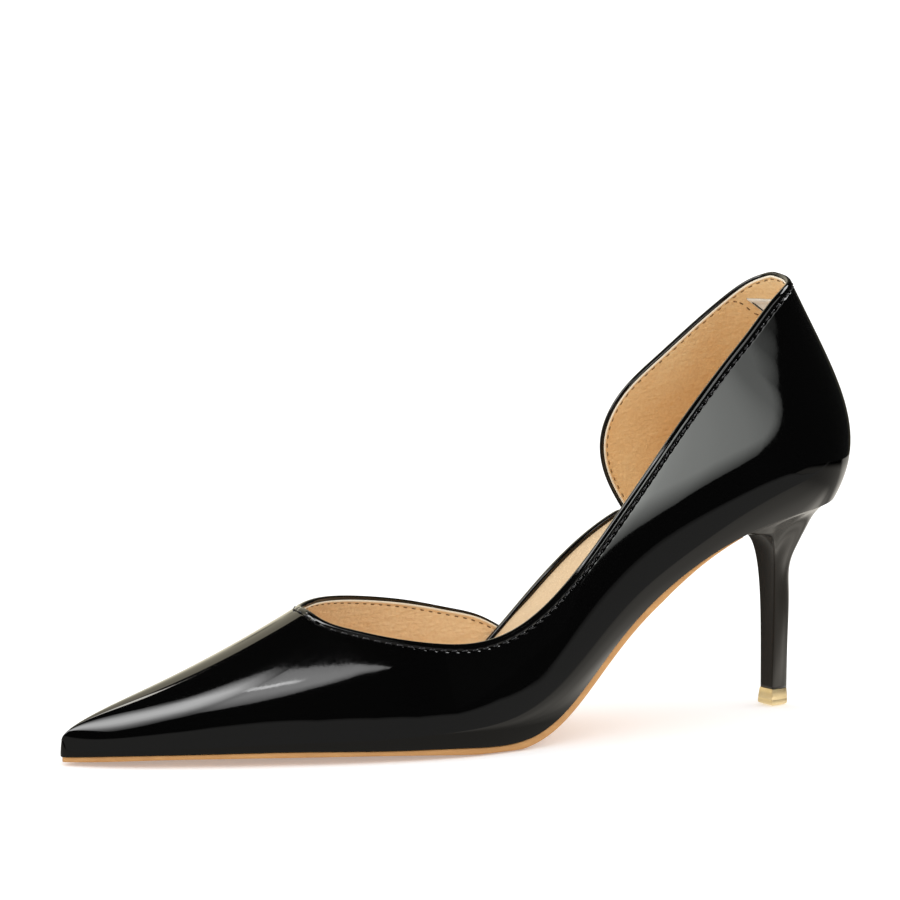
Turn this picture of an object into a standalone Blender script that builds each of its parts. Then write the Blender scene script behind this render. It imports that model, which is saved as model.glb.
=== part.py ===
# Pointed court shoe, left foot: hollow upper open at the inner waist, sole, insole, sock and slim heel.
# Sizes are in millimetres here and turned into metres where the meshes are placed.
# +X runs to the toe, +Y to the outer side, +Z up; the floor is z = 0.
import bisect
import math
from collections import namedtuple

import bmesh
import bpy

MM = 0.001
LAST_LENGTH = 245.0
HEEL_FAN = 26.0
WALL = 1.6
GAP = 0.3
TOE_TURN = -6.0
TURN_START = 120.0

SOLE_DROP = 2.6
SOLE_INSET = 0.5
SOLE_START = 45.0
SOLE_FULL = 72.0
SOLE_THIN = 0.7
TREAD_SHARE = 0.5
INSOLE_THICK = 2.0
SOCK_THICK = 0.9
SOCK_MARGIN = 0.7
SOCK_END = 226.0
RUNG_PITCH = 6.0
WAIST_MARGIN = 2.4
WAIST_BACK = 52.0
WAIST_FRONT = 95.0
WAIST_EASE = 9.0

THROAT_STATION = 173.6
WING_FOOT = 51.5
VAMP_FOOT = 95.0

TIP_HEIGHT = 4.6
HEEL_FOOT = TIP_HEIGHT + GAP
HEEL_BREAST = 44.0
HEEL_INSET = 0.6
STEM_FRONT = 16.2
STEM_DEPTH = 7.1
STEM_HALF = 3.2

OUTER_COLUMNS = 44
INNER_COLUMNS = 26
CROWN_COLUMNS = 20
WING_COLUMNS = 20
WALL_ROWS = 12
WELD = 0.00001

# One row per rib of the last. Half widths and heights are of the feather edge, the shoulder that
# bends the wall inward, and the crown the wall runs up to.
Rib = namedtuple("Rib", "station outer inner feather lift flare rise shoulder_half shoulder_high"
                 " crown_half crown_high")
RIBS = (
    Rib(0, 26.0, 26.0, 64.6, 0.0, 15.0, 22.0, 22.6, 104.2, 4.4, 140.0),
    Rib(13, 26.3, 24.8, 63.5, 0.3, 11.0, 22.0, 21.5, 102.5, 6.0, 138.0),
    Rib(26, 26.2, 23.8, 59.8, 1.0, 8.0, 22.0, 20.5, 101.0, 7.5, 135.5),
    Rib(45, 26.3, 23.1, 55.2, 2.8, 4.6, 20.0, 20.0, 97.0, 9.5, 128.0),
    Rib(65, 25.8, 22.4, 44.9, 4.5, 3.0, 18.0, 20.0, 89.5, 10.0, 114.0),
    Rib(85, 25.8, 22.0, 30.1, 2.8, 3.2, 17.0, 20.2, 79.0, 7.0, 97.0),
    Rib(105, 28.8, 23.0, 8.8, 3.2, 3.6, 16.0, 20.2, 68.5, 3.0, 81.0),
    Rib(122, 32.5, 26.4, 1.9, 1.2, 3.6, 15.0, 19.4, 60.0, 1.0, 69.0),
    Rib(140, 34.8, 30.8, 2.4, 0.0, 3.2, 14.3, 17.0, 52.3, 0.0, 57.5),
    Rib(160, 33.8, 33.2, 2.95, 0.0, 2.7, 13.4, 12.8, 44.2, 0.0, 45.8),
    Rib(185, 28.4, 30.0, 3.6, 0.0, 2.3, 10.5, 9.0, 32.1, 0.0, 33.0),
    Rib(210, 20.6, 21.7, 3.55, 0.0, 1.8, 7.5, 5.5, 21.7, 0.0, 22.3),
    Rib(230, 12.2, 12.5, 3.15, 0.0, 1.4, 5.0, 2.8, 14.6, 0.0, 15.0),
    Rib(240, 5.6, 5.6, 2.55, 0.0, 0.8, 3.6, 1.2, 10.6, 0.0, 10.8),
    Rib(245, 0.0, 0.0, 2.05, 0.0, 0.0, 2.6, 0.0, 7.5, 0.0, 7.7),
)

# Edges of the upper, from the back forward, as heights on the ribs.
EdgeRow = namedtuple("EdgeRow", "station height")
OUTER_TOPLINE = (
    EdgeRow(0, 127.5),
    EdgeRow(6, 126.9),
    EdgeRow(13, 125.7),
    EdgeRow(20, 124.2),
    EdgeRow(26, 121.5),
    EdgeRow(32, 116.9),
    EdgeRow(38, 111.6),
    EdgeRow(45, 105.5),
    EdgeRow(57, 94.2),
    EdgeRow(65, 86.0),
    EdgeRow(76, 73.9),
    EdgeRow(85, 64.0),
    EdgeRow(105, 44.0),
    EdgeRow(120, 34.2),
    EdgeRow(135, 30.2),
    EdgeRow(150, 30.9),
    EdgeRow(160, 32.6),
    EdgeRow(167, 34.3),
    EdgeRow(170.4, 35.4),
    EdgeRow(172.4, 36.7),
)
INNER_TOPLINE = (
    EdgeRow(VAMP_FOOT, 24.9),
    EdgeRow(102, 28.7),
    EdgeRow(113, 31.9),
    EdgeRow(126, 34.9),
    EdgeRow(141, 37.4),
    EdgeRow(157, 39.1),
    EdgeRow(166, 39.3),
)
WING_TOP = (
    EdgeRow(0, 127.5),
    EdgeRow(4.5, 127.8),
    EdgeRow(9, 127.2),
    EdgeRow(16.5, 125.2),
    EdgeRow(31.5, 115.7),
    EdgeRow(47, 102.7),
    EdgeRow(59.5, 91.0),
    EdgeRow(63.5, 80.5),
)
WING_FRONT = (
    EdgeRow(54.5, 58.0),
    EdgeRow(61, 69.0),
    EdgeRow(63.5, 80.5),
)

# How far the tread's edges are lifted off the floor along the forefoot; its middle stays flat.
TREAD_EDGE = (
    EdgeRow(138, 0.0),
    EdgeRow(154, 0.8),
    EdgeRow(170, 1.3),
    EdgeRow(190, 1.4),
    EdgeRow(215, 1.5),
    EdgeRow(228, 1.0),
    EdgeRow(239, 0.1),
    EdgeRow(245, 0.0),
)

# Heel, from the foot of the stem to the seat: share of the height, then how far each ring has
# spread to the seat outline at the breast (sideways and forward) and around the back, and how deep
# the breast is hollowed.
HeelRow = namedtuple("HeelRow", "rise sideways forward backward hollow")
HEEL_ROWS = (
    HeelRow(0.00, 0.000, 0.000, 0.000, 0.00),
    HeelRow(0.25, 0.010, 0.008, 0.000, 0.10),
    HeelRow(0.50, 0.028, 0.022, 0.000, 0.30),
    HeelRow(0.66, 0.055, 0.043, 0.040, 0.45),
    HeelRow(0.74, 0.080, 0.062, 0.220, 0.60),
    HeelRow(0.79, 0.103, 0.081, 0.350, 0.80),
    HeelRow(0.84, 0.145, 0.112, 0.480, 1.00),
    HeelRow(0.89, 0.240, 0.180, 0.610, 1.35),
    HeelRow(0.935, 0.410, 0.305, 0.750, 1.70),
    HeelRow(0.97, 0.665, 0.555, 0.850, 1.40),
    HeelRow(1.00, 1.000, 1.000, 0.880, 0.00),
)
TipRow = namedtuple("TipRow", "height front depth half")
TIP_ROWS = (
    TipRow(0.0, 16.4, 7.4, 3.4),
    TipRow(0.4, 16.6, 7.8, 3.6),
    TipRow(2.4, 16.5, 7.6, 3.5),
    TipRow(TIP_HEIGHT, 16.3, 7.2, 3.25),
)


def nose(station):
    """Square-root distance from the toe, so that widths start round at the tip."""
    return math.sqrt(max(0.0, 1.0 - station / LAST_LENGTH))


def curve_through(knots, values):
    """Smooth cubic through a column of values."""
    count = len(knots)
    step = [knots[i + 1] - knots[i] for i in range(count - 1)]
    pitch = [(values[i + 1] - values[i]) / step[i] for i in range(count - 1)]
    slope = [0.0] * count
    for i in range(1, count - 1):
        slope[i] = (pitch[i - 1] * step[i] + pitch[i] * step[i - 1]) / (step[i - 1] + step[i])
    slope[0] = 1.5 * pitch[0] - 0.5 * slope[1]
    slope[-1] = 1.5 * pitch[-1] - 0.5 * slope[-2]

    def value(at):
        i = min(max(bisect.bisect_right(knots, at) - 1, 0), count - 2)
        t = (at - knots[i]) / step[i]
        a = (1.0 + 2.0 * t) * (1.0 - t) ** 2 * values[i]
        b = t * (1.0 - t) ** 2 * step[i] * slope[i]
        c = t * t * (3.0 - 2.0 * t) * values[i + 1]
        d = t * t * (t - 1.0) * step[i] * slope[i + 1]
        return a + b + c + d

    return value


def rib_columns():
    """A curve along the shoe for every column of the rib table."""
    rows = tuple(reversed(RIBS))
    knots = [nose(row.station) for row in rows]
    found = {}
    for field in Rib._fields[1:]:
        found[field] = curve_through(knots, [getattr(row, field) for row in rows])
    return found


COLUMN = rib_columns()


def size(field, station):
    """A size of the last at a station."""
    return COLUMN[field](nose(station))


def spine(station):
    """Sideways bend of the centre line toward the inner side at the toe."""
    share = max(0.0, (station - TURN_START) / (LAST_LENGTH - TURN_START))
    return TOE_TURN * share ** 1.3


def rib_frame(station, side):
    """Foot of a rib's axis and the direction in which the rib stands out from it."""
    turn = max(0.0, 1.0 - station / HEEL_FAN) * math.pi / 2.0
    return max(station, HEEL_FAN), -math.sin(turn), side * math.cos(turn)


def rib_profile(station, side, t):
    """Reach and height of the wall at share t of a rib, feather edge to crown."""
    half = size("outer" if side > 0 else "inner", station)
    foot = size("feather", station) + (size("lift", station) if side < 0 else 0.0)
    reach = (half, half + size("flare", station), size("shoulder_half", station), size("crown_half", station))
    high = (foot, foot + size("rise", station), size("shoulder_high", station), size("crown_high", station))
    u = 1.0 - t
    weight = (u ** 3, 3.0 * t * u * u, 3.0 * t * t * u, t ** 3)
    return sum(w * r for w, r in zip(weight, reach)), sum(w * h for w, h in zip(weight, high))


def wall_point(station, side, t):
    """Point of the upper's outer face."""
    reach, height = rib_profile(station, side, t)
    axis, along, across = rib_frame(station, side)
    return axis + along * reach, spine(station) + across * reach, height


def share_at(station, side, height):
    """Share t of a rib at a height."""
    low = 0.0
    high = 1.0
    for _ in range(40):
        middle = 0.5 * (low + high)
        if rib_profile(station, side, middle)[1] < height:
            low = middle
        else:
            high = middle
    return 0.5 * (low + high)


def edge_shares(rows, side, count):
    """Stations and rib shares evenly spread along an edge of the upper."""
    chord = [0.0]
    for before, after in zip(rows, rows[1:]):
        chord.append(chord[-1] + math.hypot(after.station - before.station, after.height - before.height))
    station_at = curve_through(chord, [row.station for row in rows])
    height_at = curve_through(chord, [row.height for row in rows])
    fine = 12 * count
    trail = []
    for i in range(fine + 1):
        at = chord[-1] * i / fine
        station = min(max(station_at(at), 0.0), LAST_LENGTH)
        trail.append((station, share_at(station, side, height_at(at))))
    place = [wall_point(station, side, t) for station, t in trail]
    under = [wall_point(station, side, 0.0) for station, t in trail]
    length = [0.0]
    for i in range(fine):
        length.append(length[-1] + math.dist(place[i], place[i + 1]) + math.dist(under[i], under[i + 1]))
    spread = []
    for i in range(count + 1):
        at = length[-1] * i / count
        k = min(max(bisect.bisect_right(length, at) - 1, 0), fine - 1)
        f = (at - length[k]) / (length[k + 1] - length[k])
        spread.append(tuple(a + (b - a) * f for a, b in zip(trail[k], trail[k + 1])))
    return spread


def crown_shares():
    """Stations along the crown from the throat to the toe tip."""
    start = nose(THROAT_STATION)
    found = []
    for i in range(1, CROWN_COLUMNS + 1):
        part = 1.0 - i / CROWN_COLUMNS
        found.append((LAST_LENGTH * (1.0 - (start * part) ** 2), 1.0))
    return found


def throat_row():
    """Where the topline crosses the crown."""
    return EdgeRow(THROAT_STATION, size("crown_high", THROAT_STATION))


def outer_columns():
    """Rib stations and top shares of the outer side, heel to toe."""
    return edge_shares(OUTER_TOPLINE + (throat_row(),), 1, OUTER_COLUMNS) + crown_shares()


def inner_columns():
    """Rib stations and top shares of the inner side of the vamp."""
    return edge_shares(INNER_TOPLINE + (throat_row(),), -1, INNER_COLUMNS) + crown_shares()


def wing_grid():
    """Stations and shares over the inner wing, blended between its four edges."""
    top = edge_shares(WING_TOP, -1, WING_COLUMNS)
    foot_row = EdgeRow(WING_FOOT, rib_profile(WING_FOOT, -1, 0.0)[1])
    front = edge_shares((foot_row,) + WING_FRONT, -1, WALL_ROWS)
    front[0] = (WING_FOOT, 0.0)
    back = [(0.0, top[0][1] * j / WALL_ROWS) for j in range(WALL_ROWS + 1)]
    foot = [(WING_FOOT * i / WING_COLUMNS, 0.0) for i in range(WING_COLUMNS + 1)]
    cells = {}
    for i in range(WING_COLUMNS + 1):
        u = i / WING_COLUMNS
        for j in range(WALL_ROWS + 1):
            v = j / WALL_ROWS
            pair = []
            for axis in range(2):
                ruled = (1.0 - v) * foot[i][axis] + v * top[i][axis]
                ruled += (1.0 - u) * back[j][axis] + u * front[j][axis]
                corner = (1.0 - u) * ((1.0 - v) * foot[0][axis] + v * top[0][axis])
                corner += u * ((1.0 - v) * foot[-1][axis] + v * top[-1][axis])
                pair.append(ruled - corner)
            cells[i, j] = (max(pair[0], 0.0), min(max(pair[1], 0.0), 1.0))
    return cells


def in_metres(point):
    """A point in millimetres, in metres."""
    return point[0] * MM, point[1] * MM, point[2] * MM


def add_grid(bm, columns, rows, place):
    """Grid of faces shaped by a placing function of column and row."""
    made = bmesh.ops.create_grid(bm, x_segments=columns, y_segments=rows, size=1.0)["verts"]
    for vert in made:
        i = round((vert.co.x + 1.0) * 0.5 * columns)
        j = round((vert.co.y + 1.0) * 0.5 * rows)
        vert.co = in_metres(place(i, j))


def clear_scene():
    """Start from an empty scene."""
    for item in list(bpy.data.objects):
        bpy.data.objects.remove(item, do_unlink=True)
    for group in list(bpy.data.collections):
        bpy.data.collections.remove(group)


def make_material(name, colour, roughness, metallic):
    """Plain surface for one sub-part."""
    material = bpy.data.materials.new(name)
    material.use_nodes = True
    surface = material.node_tree.nodes["Principled BSDF"]
    surface.inputs["Base Color"].default_value = (*colour, 1.0)
    surface.inputs["Roughness"].default_value = roughness
    surface.inputs["Metallic"].default_value = metallic
    material.diffuse_color = (*colour, 1.0)
    return material


def make_piece(name, bm, material, group):
    """Object from a finished mesh, shaded smooth."""
    bmesh.ops.remove_doubles(bm, verts=bm.verts, dist=WELD)
    bmesh.ops.dissolve_degenerate(bm, edges=bm.edges, dist=WELD)
    bmesh.ops.recalc_face_normals(bm, faces=bm.faces)
    mesh = bpy.data.meshes.new(name)
    bm.to_mesh(mesh)
    bm.free()
    mesh.materials.append(material)
    for face in mesh.polygons:
        face.use_smooth = True
    item = bpy.data.objects.new(name, mesh)
    group.objects.link(item)
    return item


def build_upper(material, group):
    """Outer face of the upper in three patches, thickened inward to one hollow wall."""
    outer = outer_columns()
    inner = inner_columns()
    wing = wing_grid()
    bm = bmesh.new()

    def outer_place(i, j):
        station, top = outer[i]
        return wall_point(station, 1, top * j / WALL_ROWS)

    def inner_place(i, j):
        station, top = inner[i]
        return wall_point(station, -1, top * j / WALL_ROWS)

    def wing_place(i, j):
        station, share = wing[i, j]
        return wall_point(station, -1, share)

    add_grid(bm, len(outer) - 1, WALL_ROWS, outer_place)
    add_grid(bm, len(inner) - 1, WALL_ROWS, inner_place)
    add_grid(bm, WING_COLUMNS, WALL_ROWS, wing_place)
    item = make_piece("upper", bm, material, group)
    toward = sum(face.normal.y * face.center.y * face.area for face in item.data.polygons)
    if toward < 0.0:
        item.data.flip_normals()
    shell = item.modifiers.new("wall", "SOLIDIFY")
    shell.thickness = WALL * MM
    shell.offset = -1.0
    shell.use_even_offset = True
    shell.use_quality_normals = True
    return item


def station_of(x):
    """Station of the feather edge at a distance along the shoe."""
    if x >= HEEL_FAN:
        return min(x, LAST_LENGTH)
    turn = math.asin(min(1.0, (HEEL_FAN - x) / HEEL_FAN))
    return HEEL_FAN * (1.0 - turn * 2.0 / math.pi)


def bed_height(x, y):
    """Height of the feather line across the shoe, tilted from the outer to the inner edge."""
    station = station_of(x)
    outer = wall_point(station, 1, 0.0)[1]
    inner = wall_point(station, -1, 0.0)[1]
    share = 0.5
    if outer - inner > 0.001:
        share = min(max((outer - y) / (outer - inner), 0.0), 1.0)
    return size("feather", station) + size("lift", station) * share


def inset_edge(side, inset):
    """Feather edge moved inward, as points from heel to toe."""
    steps = 480
    line = []
    for i in range(steps + 1):
        part = i / steps
        station = LAST_LENGTH * (1.0 - (1.0 - part) ** 2)
        if station < HEEL_FAN:
            station = max(station, 0.0)
        line.append(wall_point(station, side, 0.0)[:2])
    moved = []
    for i in range(steps + 1):
        a = line[max(i - 1, 0)]
        b = line[min(i + 1, steps)]
        if i == 0:
            along = (0.0, side * 1.0)
        elif i == steps:
            along = (0.0, -side * 1.0)
        else:
            along = (b[0] - a[0], b[1] - a[1])
        long = math.hypot(*along)
        reach = inset(line[i][0])
        moved.append((line[i][0] + side * along[1] / long * reach, line[i][1] - side * along[0] / long * reach))
    kept = [moved[0]]
    for point in moved[1:]:
        if point[0] > kept[-1][0] + 0.0005:
            kept.append(point)
    return kept


def across_at(edge, x):
    """Sideways place of an edge line at a distance along the shoe."""
    xs = [point[0] for point in edge]
    k = min(max(bisect.bisect_right(xs, x) - 1, 0), len(edge) - 2)
    f = min(max((x - xs[k]) / (xs[k + 1] - xs[k]), 0.0), 1.0)
    return edge[k][1] + (edge[k + 1][1] - edge[k][1]) * f


def waist_share(x):
    """1 along the open inner waist, easing to 0 inside the wing and the vamp."""
    rear = min(max((x - WAIST_BACK) / WAIST_EASE, 0.0), 1.0)
    front = min(max((WAIST_FRONT - x) / WAIST_EASE, 0.0), 1.0)
    share = min(rear, front)
    return share * share * (3.0 - 2.0 * share)


def bed_stretch(x):
    """Upright length of one unit measured square to the sloping bed."""
    ahead = size("feather", station_of(min(x + 1.0, LAST_LENGTH)))
    behind = size("feather", station_of(max(x - 1.0, 0.0)))
    return math.hypot(1.0, 0.5 * (ahead - behind))


def above_bed(amount):
    """Height function lying an amount above the bed, measured square to it."""
    return lambda x, y: bed_height(x, y) + amount * bed_stretch(x)


def bed_columns(outer, inner, start, end):
    """Rungs across the foot bed on one common pitch: place along, outer side and inner side."""
    places = [start, end]
    for near in (0.5, 1.8, 4.0):
        places.append(start + near)
        places.append(end - near)
    steps = int(LAST_LENGTH / RUNG_PITCH) + 1
    for i in range(steps):
        x = i * RUNG_PITCH
        if start + 6.0 < x < end - 6.0:
            places.append(x)
    return [(x, across_at(outer, x), across_at(inner, x)) for x in sorted(places)]


def closed_ends(rungs, outer, inner):
    """Bring the first and last rungs to a point where the two edges meet."""
    first = 0.5 * (outer[0][1] + inner[0][1])
    last = 0.5 * (outer[-1][1] + inner[-1][1])
    rungs[0] = (rungs[0][0], first, first)
    rungs[-1] = (rungs[-1][0], last, last)
    return rungs


def add_slab(bm, rungs, across, low, high):
    """Closed slab over rungs, between a lower and an upper height function."""

    def spot(i, j, height):
        x, left, right = rungs[i]
        y = left + (right - left) * j / across
        return x, y, height(x, y)

    count = len(rungs) - 1
    add_grid(bm, count, across, lambda i, j: spot(i, j, high))
    add_grid(bm, count, across, lambda i, j: spot(i, j, low))
    for j in (0, across):
        add_grid(bm, count, 1, lambda i, k, j=j: spot(i, j, high if k else low))
    for i in (0, count):
        add_grid(bm, across, 1, lambda j, k, i=i: spot(i, j, high if k else low))


def sole_drop(x):
    """Depth of the sole's lower face below the bed, skived thin toward the heel breast."""
    share = min(max((x - SOLE_START) / (SOLE_FULL - SOLE_START), 0.0), 1.0)
    return SOLE_THIN + (SOLE_DROP - SOLE_THIN) * share


def tread_height(x, y):
    """Height of the tread over the floor: flat in the middle, eased up toward the edges of the forefoot."""
    station = station_of(x)
    outer = wall_point(station, 1, 0.0)[1]
    inner = wall_point(station, -1, 0.0)[1]
    half = max(0.5 * (outer - inner), 0.001)
    out = abs(y - 0.5 * (outer + inner)) / half
    share = min(max((out - TREAD_SHARE) / (1.0 - TREAD_SHARE), 0.0), 1.0)
    knots = [row.station for row in TREAD_EDGE]
    lift = 0.0
    if x > knots[0]:
        lift = max(0.0, curve_through(knots, [row.height for row in TREAD_EDGE])(min(x, knots[-1])))
    return lift * share ** 1.5


def sole_low(x, y):
    """Lower face of the sole: skived to the bed at the waist, on the floor from the ball forward."""
    if x > TREAD_EDGE[0].station:
        return tread_height(x, y)
    return max(0.0, bed_height(x, y) - sole_drop(x) * bed_stretch(x))


def build_outsole(material, group):
    """Thin sole from the heel breast to the toe, flat on the floor under the middle of the forefoot."""
    outer = inset_edge(1, lambda x: SOLE_INSET)
    inner = inset_edge(-1, lambda x: SOLE_INSET)
    end = min(outer[-1][0], inner[-1][0])
    rungs = bed_columns(outer, inner, SOLE_START, end)
    last = 0.5 * (outer[-1][1] + inner[-1][1])
    rungs[-1] = (rungs[-1][0], last, last)
    bm = bmesh.new()
    add_slab(bm, rungs, 8, sole_low, above_bed(-GAP))
    return make_piece("outsole", bm, material, group)


def build_insole(material, group):
    """Board inside the wall, wider along the open waist where it carries its own edge."""
    outer = inset_edge(1, lambda x: WALL + GAP)
    inner = inset_edge(-1, lambda x: (WALL + GAP) * (1.0 - waist_share(x)) + SOLE_INSET * waist_share(x))
    start = max(outer[0][0], inner[0][0])
    end = min(outer[-1][0], inner[-1][0])
    rungs = closed_ends(bed_columns(outer, inner, start, end), outer, inner)
    bm = bmesh.new()
    add_slab(bm, rungs, 4, bed_height, above_bed(INSOLE_THICK))
    return make_piece("insole", bm, material, group)


def build_sock(material, group):
    """Thin lining on the insole, set back from its bare waist edge."""
    inside = WALL + GAP + SOCK_MARGIN
    outer = inset_edge(1, lambda x: inside)
    inner = inset_edge(-1, lambda x: inside + (SOLE_INSET + WAIST_MARGIN - inside) * waist_share(x))
    start = max(outer[0][0], inner[0][0])
    rungs = bed_columns(outer, inner, start, SOCK_END)
    back = 0.5 * (outer[0][1] + inner[0][1])
    rungs[0] = (start, back, back)
    bm = bmesh.new()
    base = INSOLE_THICK + GAP
    add_slab(bm, rungs, 4, above_bed(base), above_bed(base + SOCK_THICK))
    return make_piece("sock", bm, material, group)


def stem_spot(a, b, front, depth, half):
    """Point of the stem's section: straight breast, round back."""
    turn = a * math.pi / 2.0
    return front - depth * math.sin(turn), b * half * math.cos(turn)


def build_heel(material, group):
    """Slim heel spreading up to the seat, with a hollowed breast."""
    outer = inset_edge(1, lambda x: HEEL_INSET)
    inner = inset_edge(-1, lambda x: HEEL_INSET)
    back = max(outer[0][0], inner[0][0])
    meet = 0.5 * (outer[0][1] + inner[0][1])
    around = 12
    across = 6

    def spot(i, k, row):
        a = i / around
        b = 2.0 * k / across - 1.0
        stem_x, stem_y = stem_spot(a, b, STEM_FRONT, STEM_DEPTH, STEM_HALF)
        seat_x = HEEL_BREAST - (HEEL_BREAST - back) * math.sin(a * math.pi / 2.0)
        left = across_at(outer, seat_x)
        right = across_at(inner, seat_x)
        if i == around:
            left = meet
            right = meet
        seat_y = right + (left - right) * (b + 1.0) / 2.0
        behind = a * a * (3.0 - 2.0 * a)
        along = row.forward + (row.backward - row.forward) * behind
        out = row.sideways + (row.backward - row.sideways) * behind
        x = stem_x + along * (seat_x - stem_x) - row.hollow * (1.0 - b * b) * (1.0 - a) ** 2
        y = stem_y + out * (seat_y - stem_y)
        top = bed_height(seat_x, seat_y) - GAP
        return x, y, HEEL_FOOT + row.rise * (top - HEEL_FOOT)

    bm = bmesh.new()
    levels = len(HEEL_ROWS) - 1
    for row in (HEEL_ROWS[0], HEEL_ROWS[-1]):
        add_grid(bm, around, across, lambda i, k, row=row: spot(i, k, row))
    for k in (0, across):
        add_grid(bm, around, levels, lambda i, n, k=k: spot(i, k, HEEL_ROWS[n]))
    add_grid(bm, across, levels, lambda k, n: spot(0, k, HEEL_ROWS[n]))
    return make_piece("heel", bm, material, group)


def build_top_piece(material, group):
    """Metal tip under the stem, flat on the floor."""
    around = 10
    across = 4

    def spot(i, k, row):
        b = 2.0 * k / across - 1.0
        x, y = stem_spot(i / around, b, row.front, row.depth, row.half)
        return x, y, row.height

    bm = bmesh.new()
    levels = len(TIP_ROWS) - 1
    for row in (TIP_ROWS[0], TIP_ROWS[-1]):
        add_grid(bm, around, across, lambda i, k, row=row: spot(i, k, row))
    for k in (0, across):
        add_grid(bm, around, levels, lambda i, n, k=k: spot(i, k, TIP_ROWS[n]))
    add_grid(bm, across, levels, lambda k, n: spot(0, k, TIP_ROWS[n]))
    return make_piece("top_piece", bm, material, group)


def centre_on_floor(items):
    """Put the middle of the footprint over the origin."""
    xs = [vert.co.x for item in items for vert in item.data.vertices]
    ys = [vert.co.y for item in items for vert in item.data.vertices]
    middle_x = 0.5 * (min(xs) + max(xs))
    middle_y = 0.5 * (min(ys) + max(ys))
    for item in items:
        for vert in item.data.vertices:
            vert.co.x -= middle_x
            vert.co.y -= middle_y
        item.data.update()


def build():
    """Make every sub-part in one collection."""
    clear_scene()
    group = bpy.data.collections.new("high_heel_shoe")
    bpy.context.scene.collection.children.link(group)
    patent = make_material("black_patent", (0.012, 0.012, 0.012), 0.12, 0.0)
    caramel = make_material("sole_caramel", (0.560, 0.340, 0.180), 0.55, 0.0)
    wrap = make_material("black_wrap", (0.015, 0.015, 0.015), 0.20, 0.0)
    tan = make_material("tan_sock", (0.760, 0.540, 0.360), 0.65, 0.0)
    lacquer = make_material("black_lacquer", (0.014, 0.014, 0.013), 0.15, 0.0)
    gold = make_material("gold_metal", (0.780, 0.580, 0.240), 0.28, 1.0)
    items = [
        build_upper(patent, group),
        build_outsole(caramel, group),
        build_insole(wrap, group),
        build_sock(tan, group),
        build_heel(lacquer, group),
        build_top_piece(gold, group),
    ]
    centre_on_floor(items)


build()
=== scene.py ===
import math
from collections import namedtuple

import bmesh
import bpy
import numpy as np
from mathutils import Matrix, Vector, kdtree


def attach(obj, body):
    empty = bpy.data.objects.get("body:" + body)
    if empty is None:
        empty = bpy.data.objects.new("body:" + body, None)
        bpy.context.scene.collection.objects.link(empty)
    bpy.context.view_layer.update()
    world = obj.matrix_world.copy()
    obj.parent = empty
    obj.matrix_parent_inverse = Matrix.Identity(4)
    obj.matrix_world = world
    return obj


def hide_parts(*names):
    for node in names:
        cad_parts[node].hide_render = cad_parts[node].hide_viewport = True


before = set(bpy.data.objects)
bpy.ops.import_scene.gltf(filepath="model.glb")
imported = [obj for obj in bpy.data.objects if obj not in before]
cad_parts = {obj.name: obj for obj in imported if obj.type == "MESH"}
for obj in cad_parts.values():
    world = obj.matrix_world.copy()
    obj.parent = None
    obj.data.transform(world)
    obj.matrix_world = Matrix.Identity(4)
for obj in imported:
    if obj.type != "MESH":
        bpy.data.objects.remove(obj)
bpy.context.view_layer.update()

# Sizes are in millimetres of the last, and turned into metres of the row frame where meshes are made.
MM = 0.001
# Last: length, radius at which the ribs fan out round the back, bend of the toe to the inner side.
LENGTH = 245.0
FAN = 26.0
TOE_TURN = -6.0
TURN_START = 120.0
TURN_POWER = 1.3
# From the last to the row frame.
SHIFT_X = 119.778
SHIFT_Y = -0.172
# Softening of the last's curves, in samples.
RIB_SPREAD = 46
FAN_SPREAD = 40
TURN_SPREAD = 60
# Stations where the sides of the wall close on the crown.
CROWN_CLOSES = (138.0, 168.0)
SHOULDER_CLOSES = (140.0, 170.0)
# Free edges: end at the throat, length of a stitch, columns to a stitch, width of the band, step across it.
THROAT = 173.6
STITCH = 3.0
PER_STITCH = 5
BAND = 3.2
MARCH = 0.1
# Wall: thickness of the patent, faces of the lining, its end in the toe, its pale edge, dents of stitches.
SKIN = 0.95
LINING_FACE = -1.70
LINING_BACK = -1.05
LINING_END = 232.0
RAW_EDGE = 1.3
SKIN_DENT = 0.32
FOLD_DENT = 0.10
# Mesh of the wall: rows, columns to the toe, stations of the feet below the throat, start of the nose.
BODY_ROWS = 32
TOE_COLUMNS = 44
THROAT_FEET = (140.0, 212.0)
NOSE = 0.985
# Welding of meshes, in metres.
WELD = 0.000008
SLIVER = 0.000004
SAME_POINT = 0.00001

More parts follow.
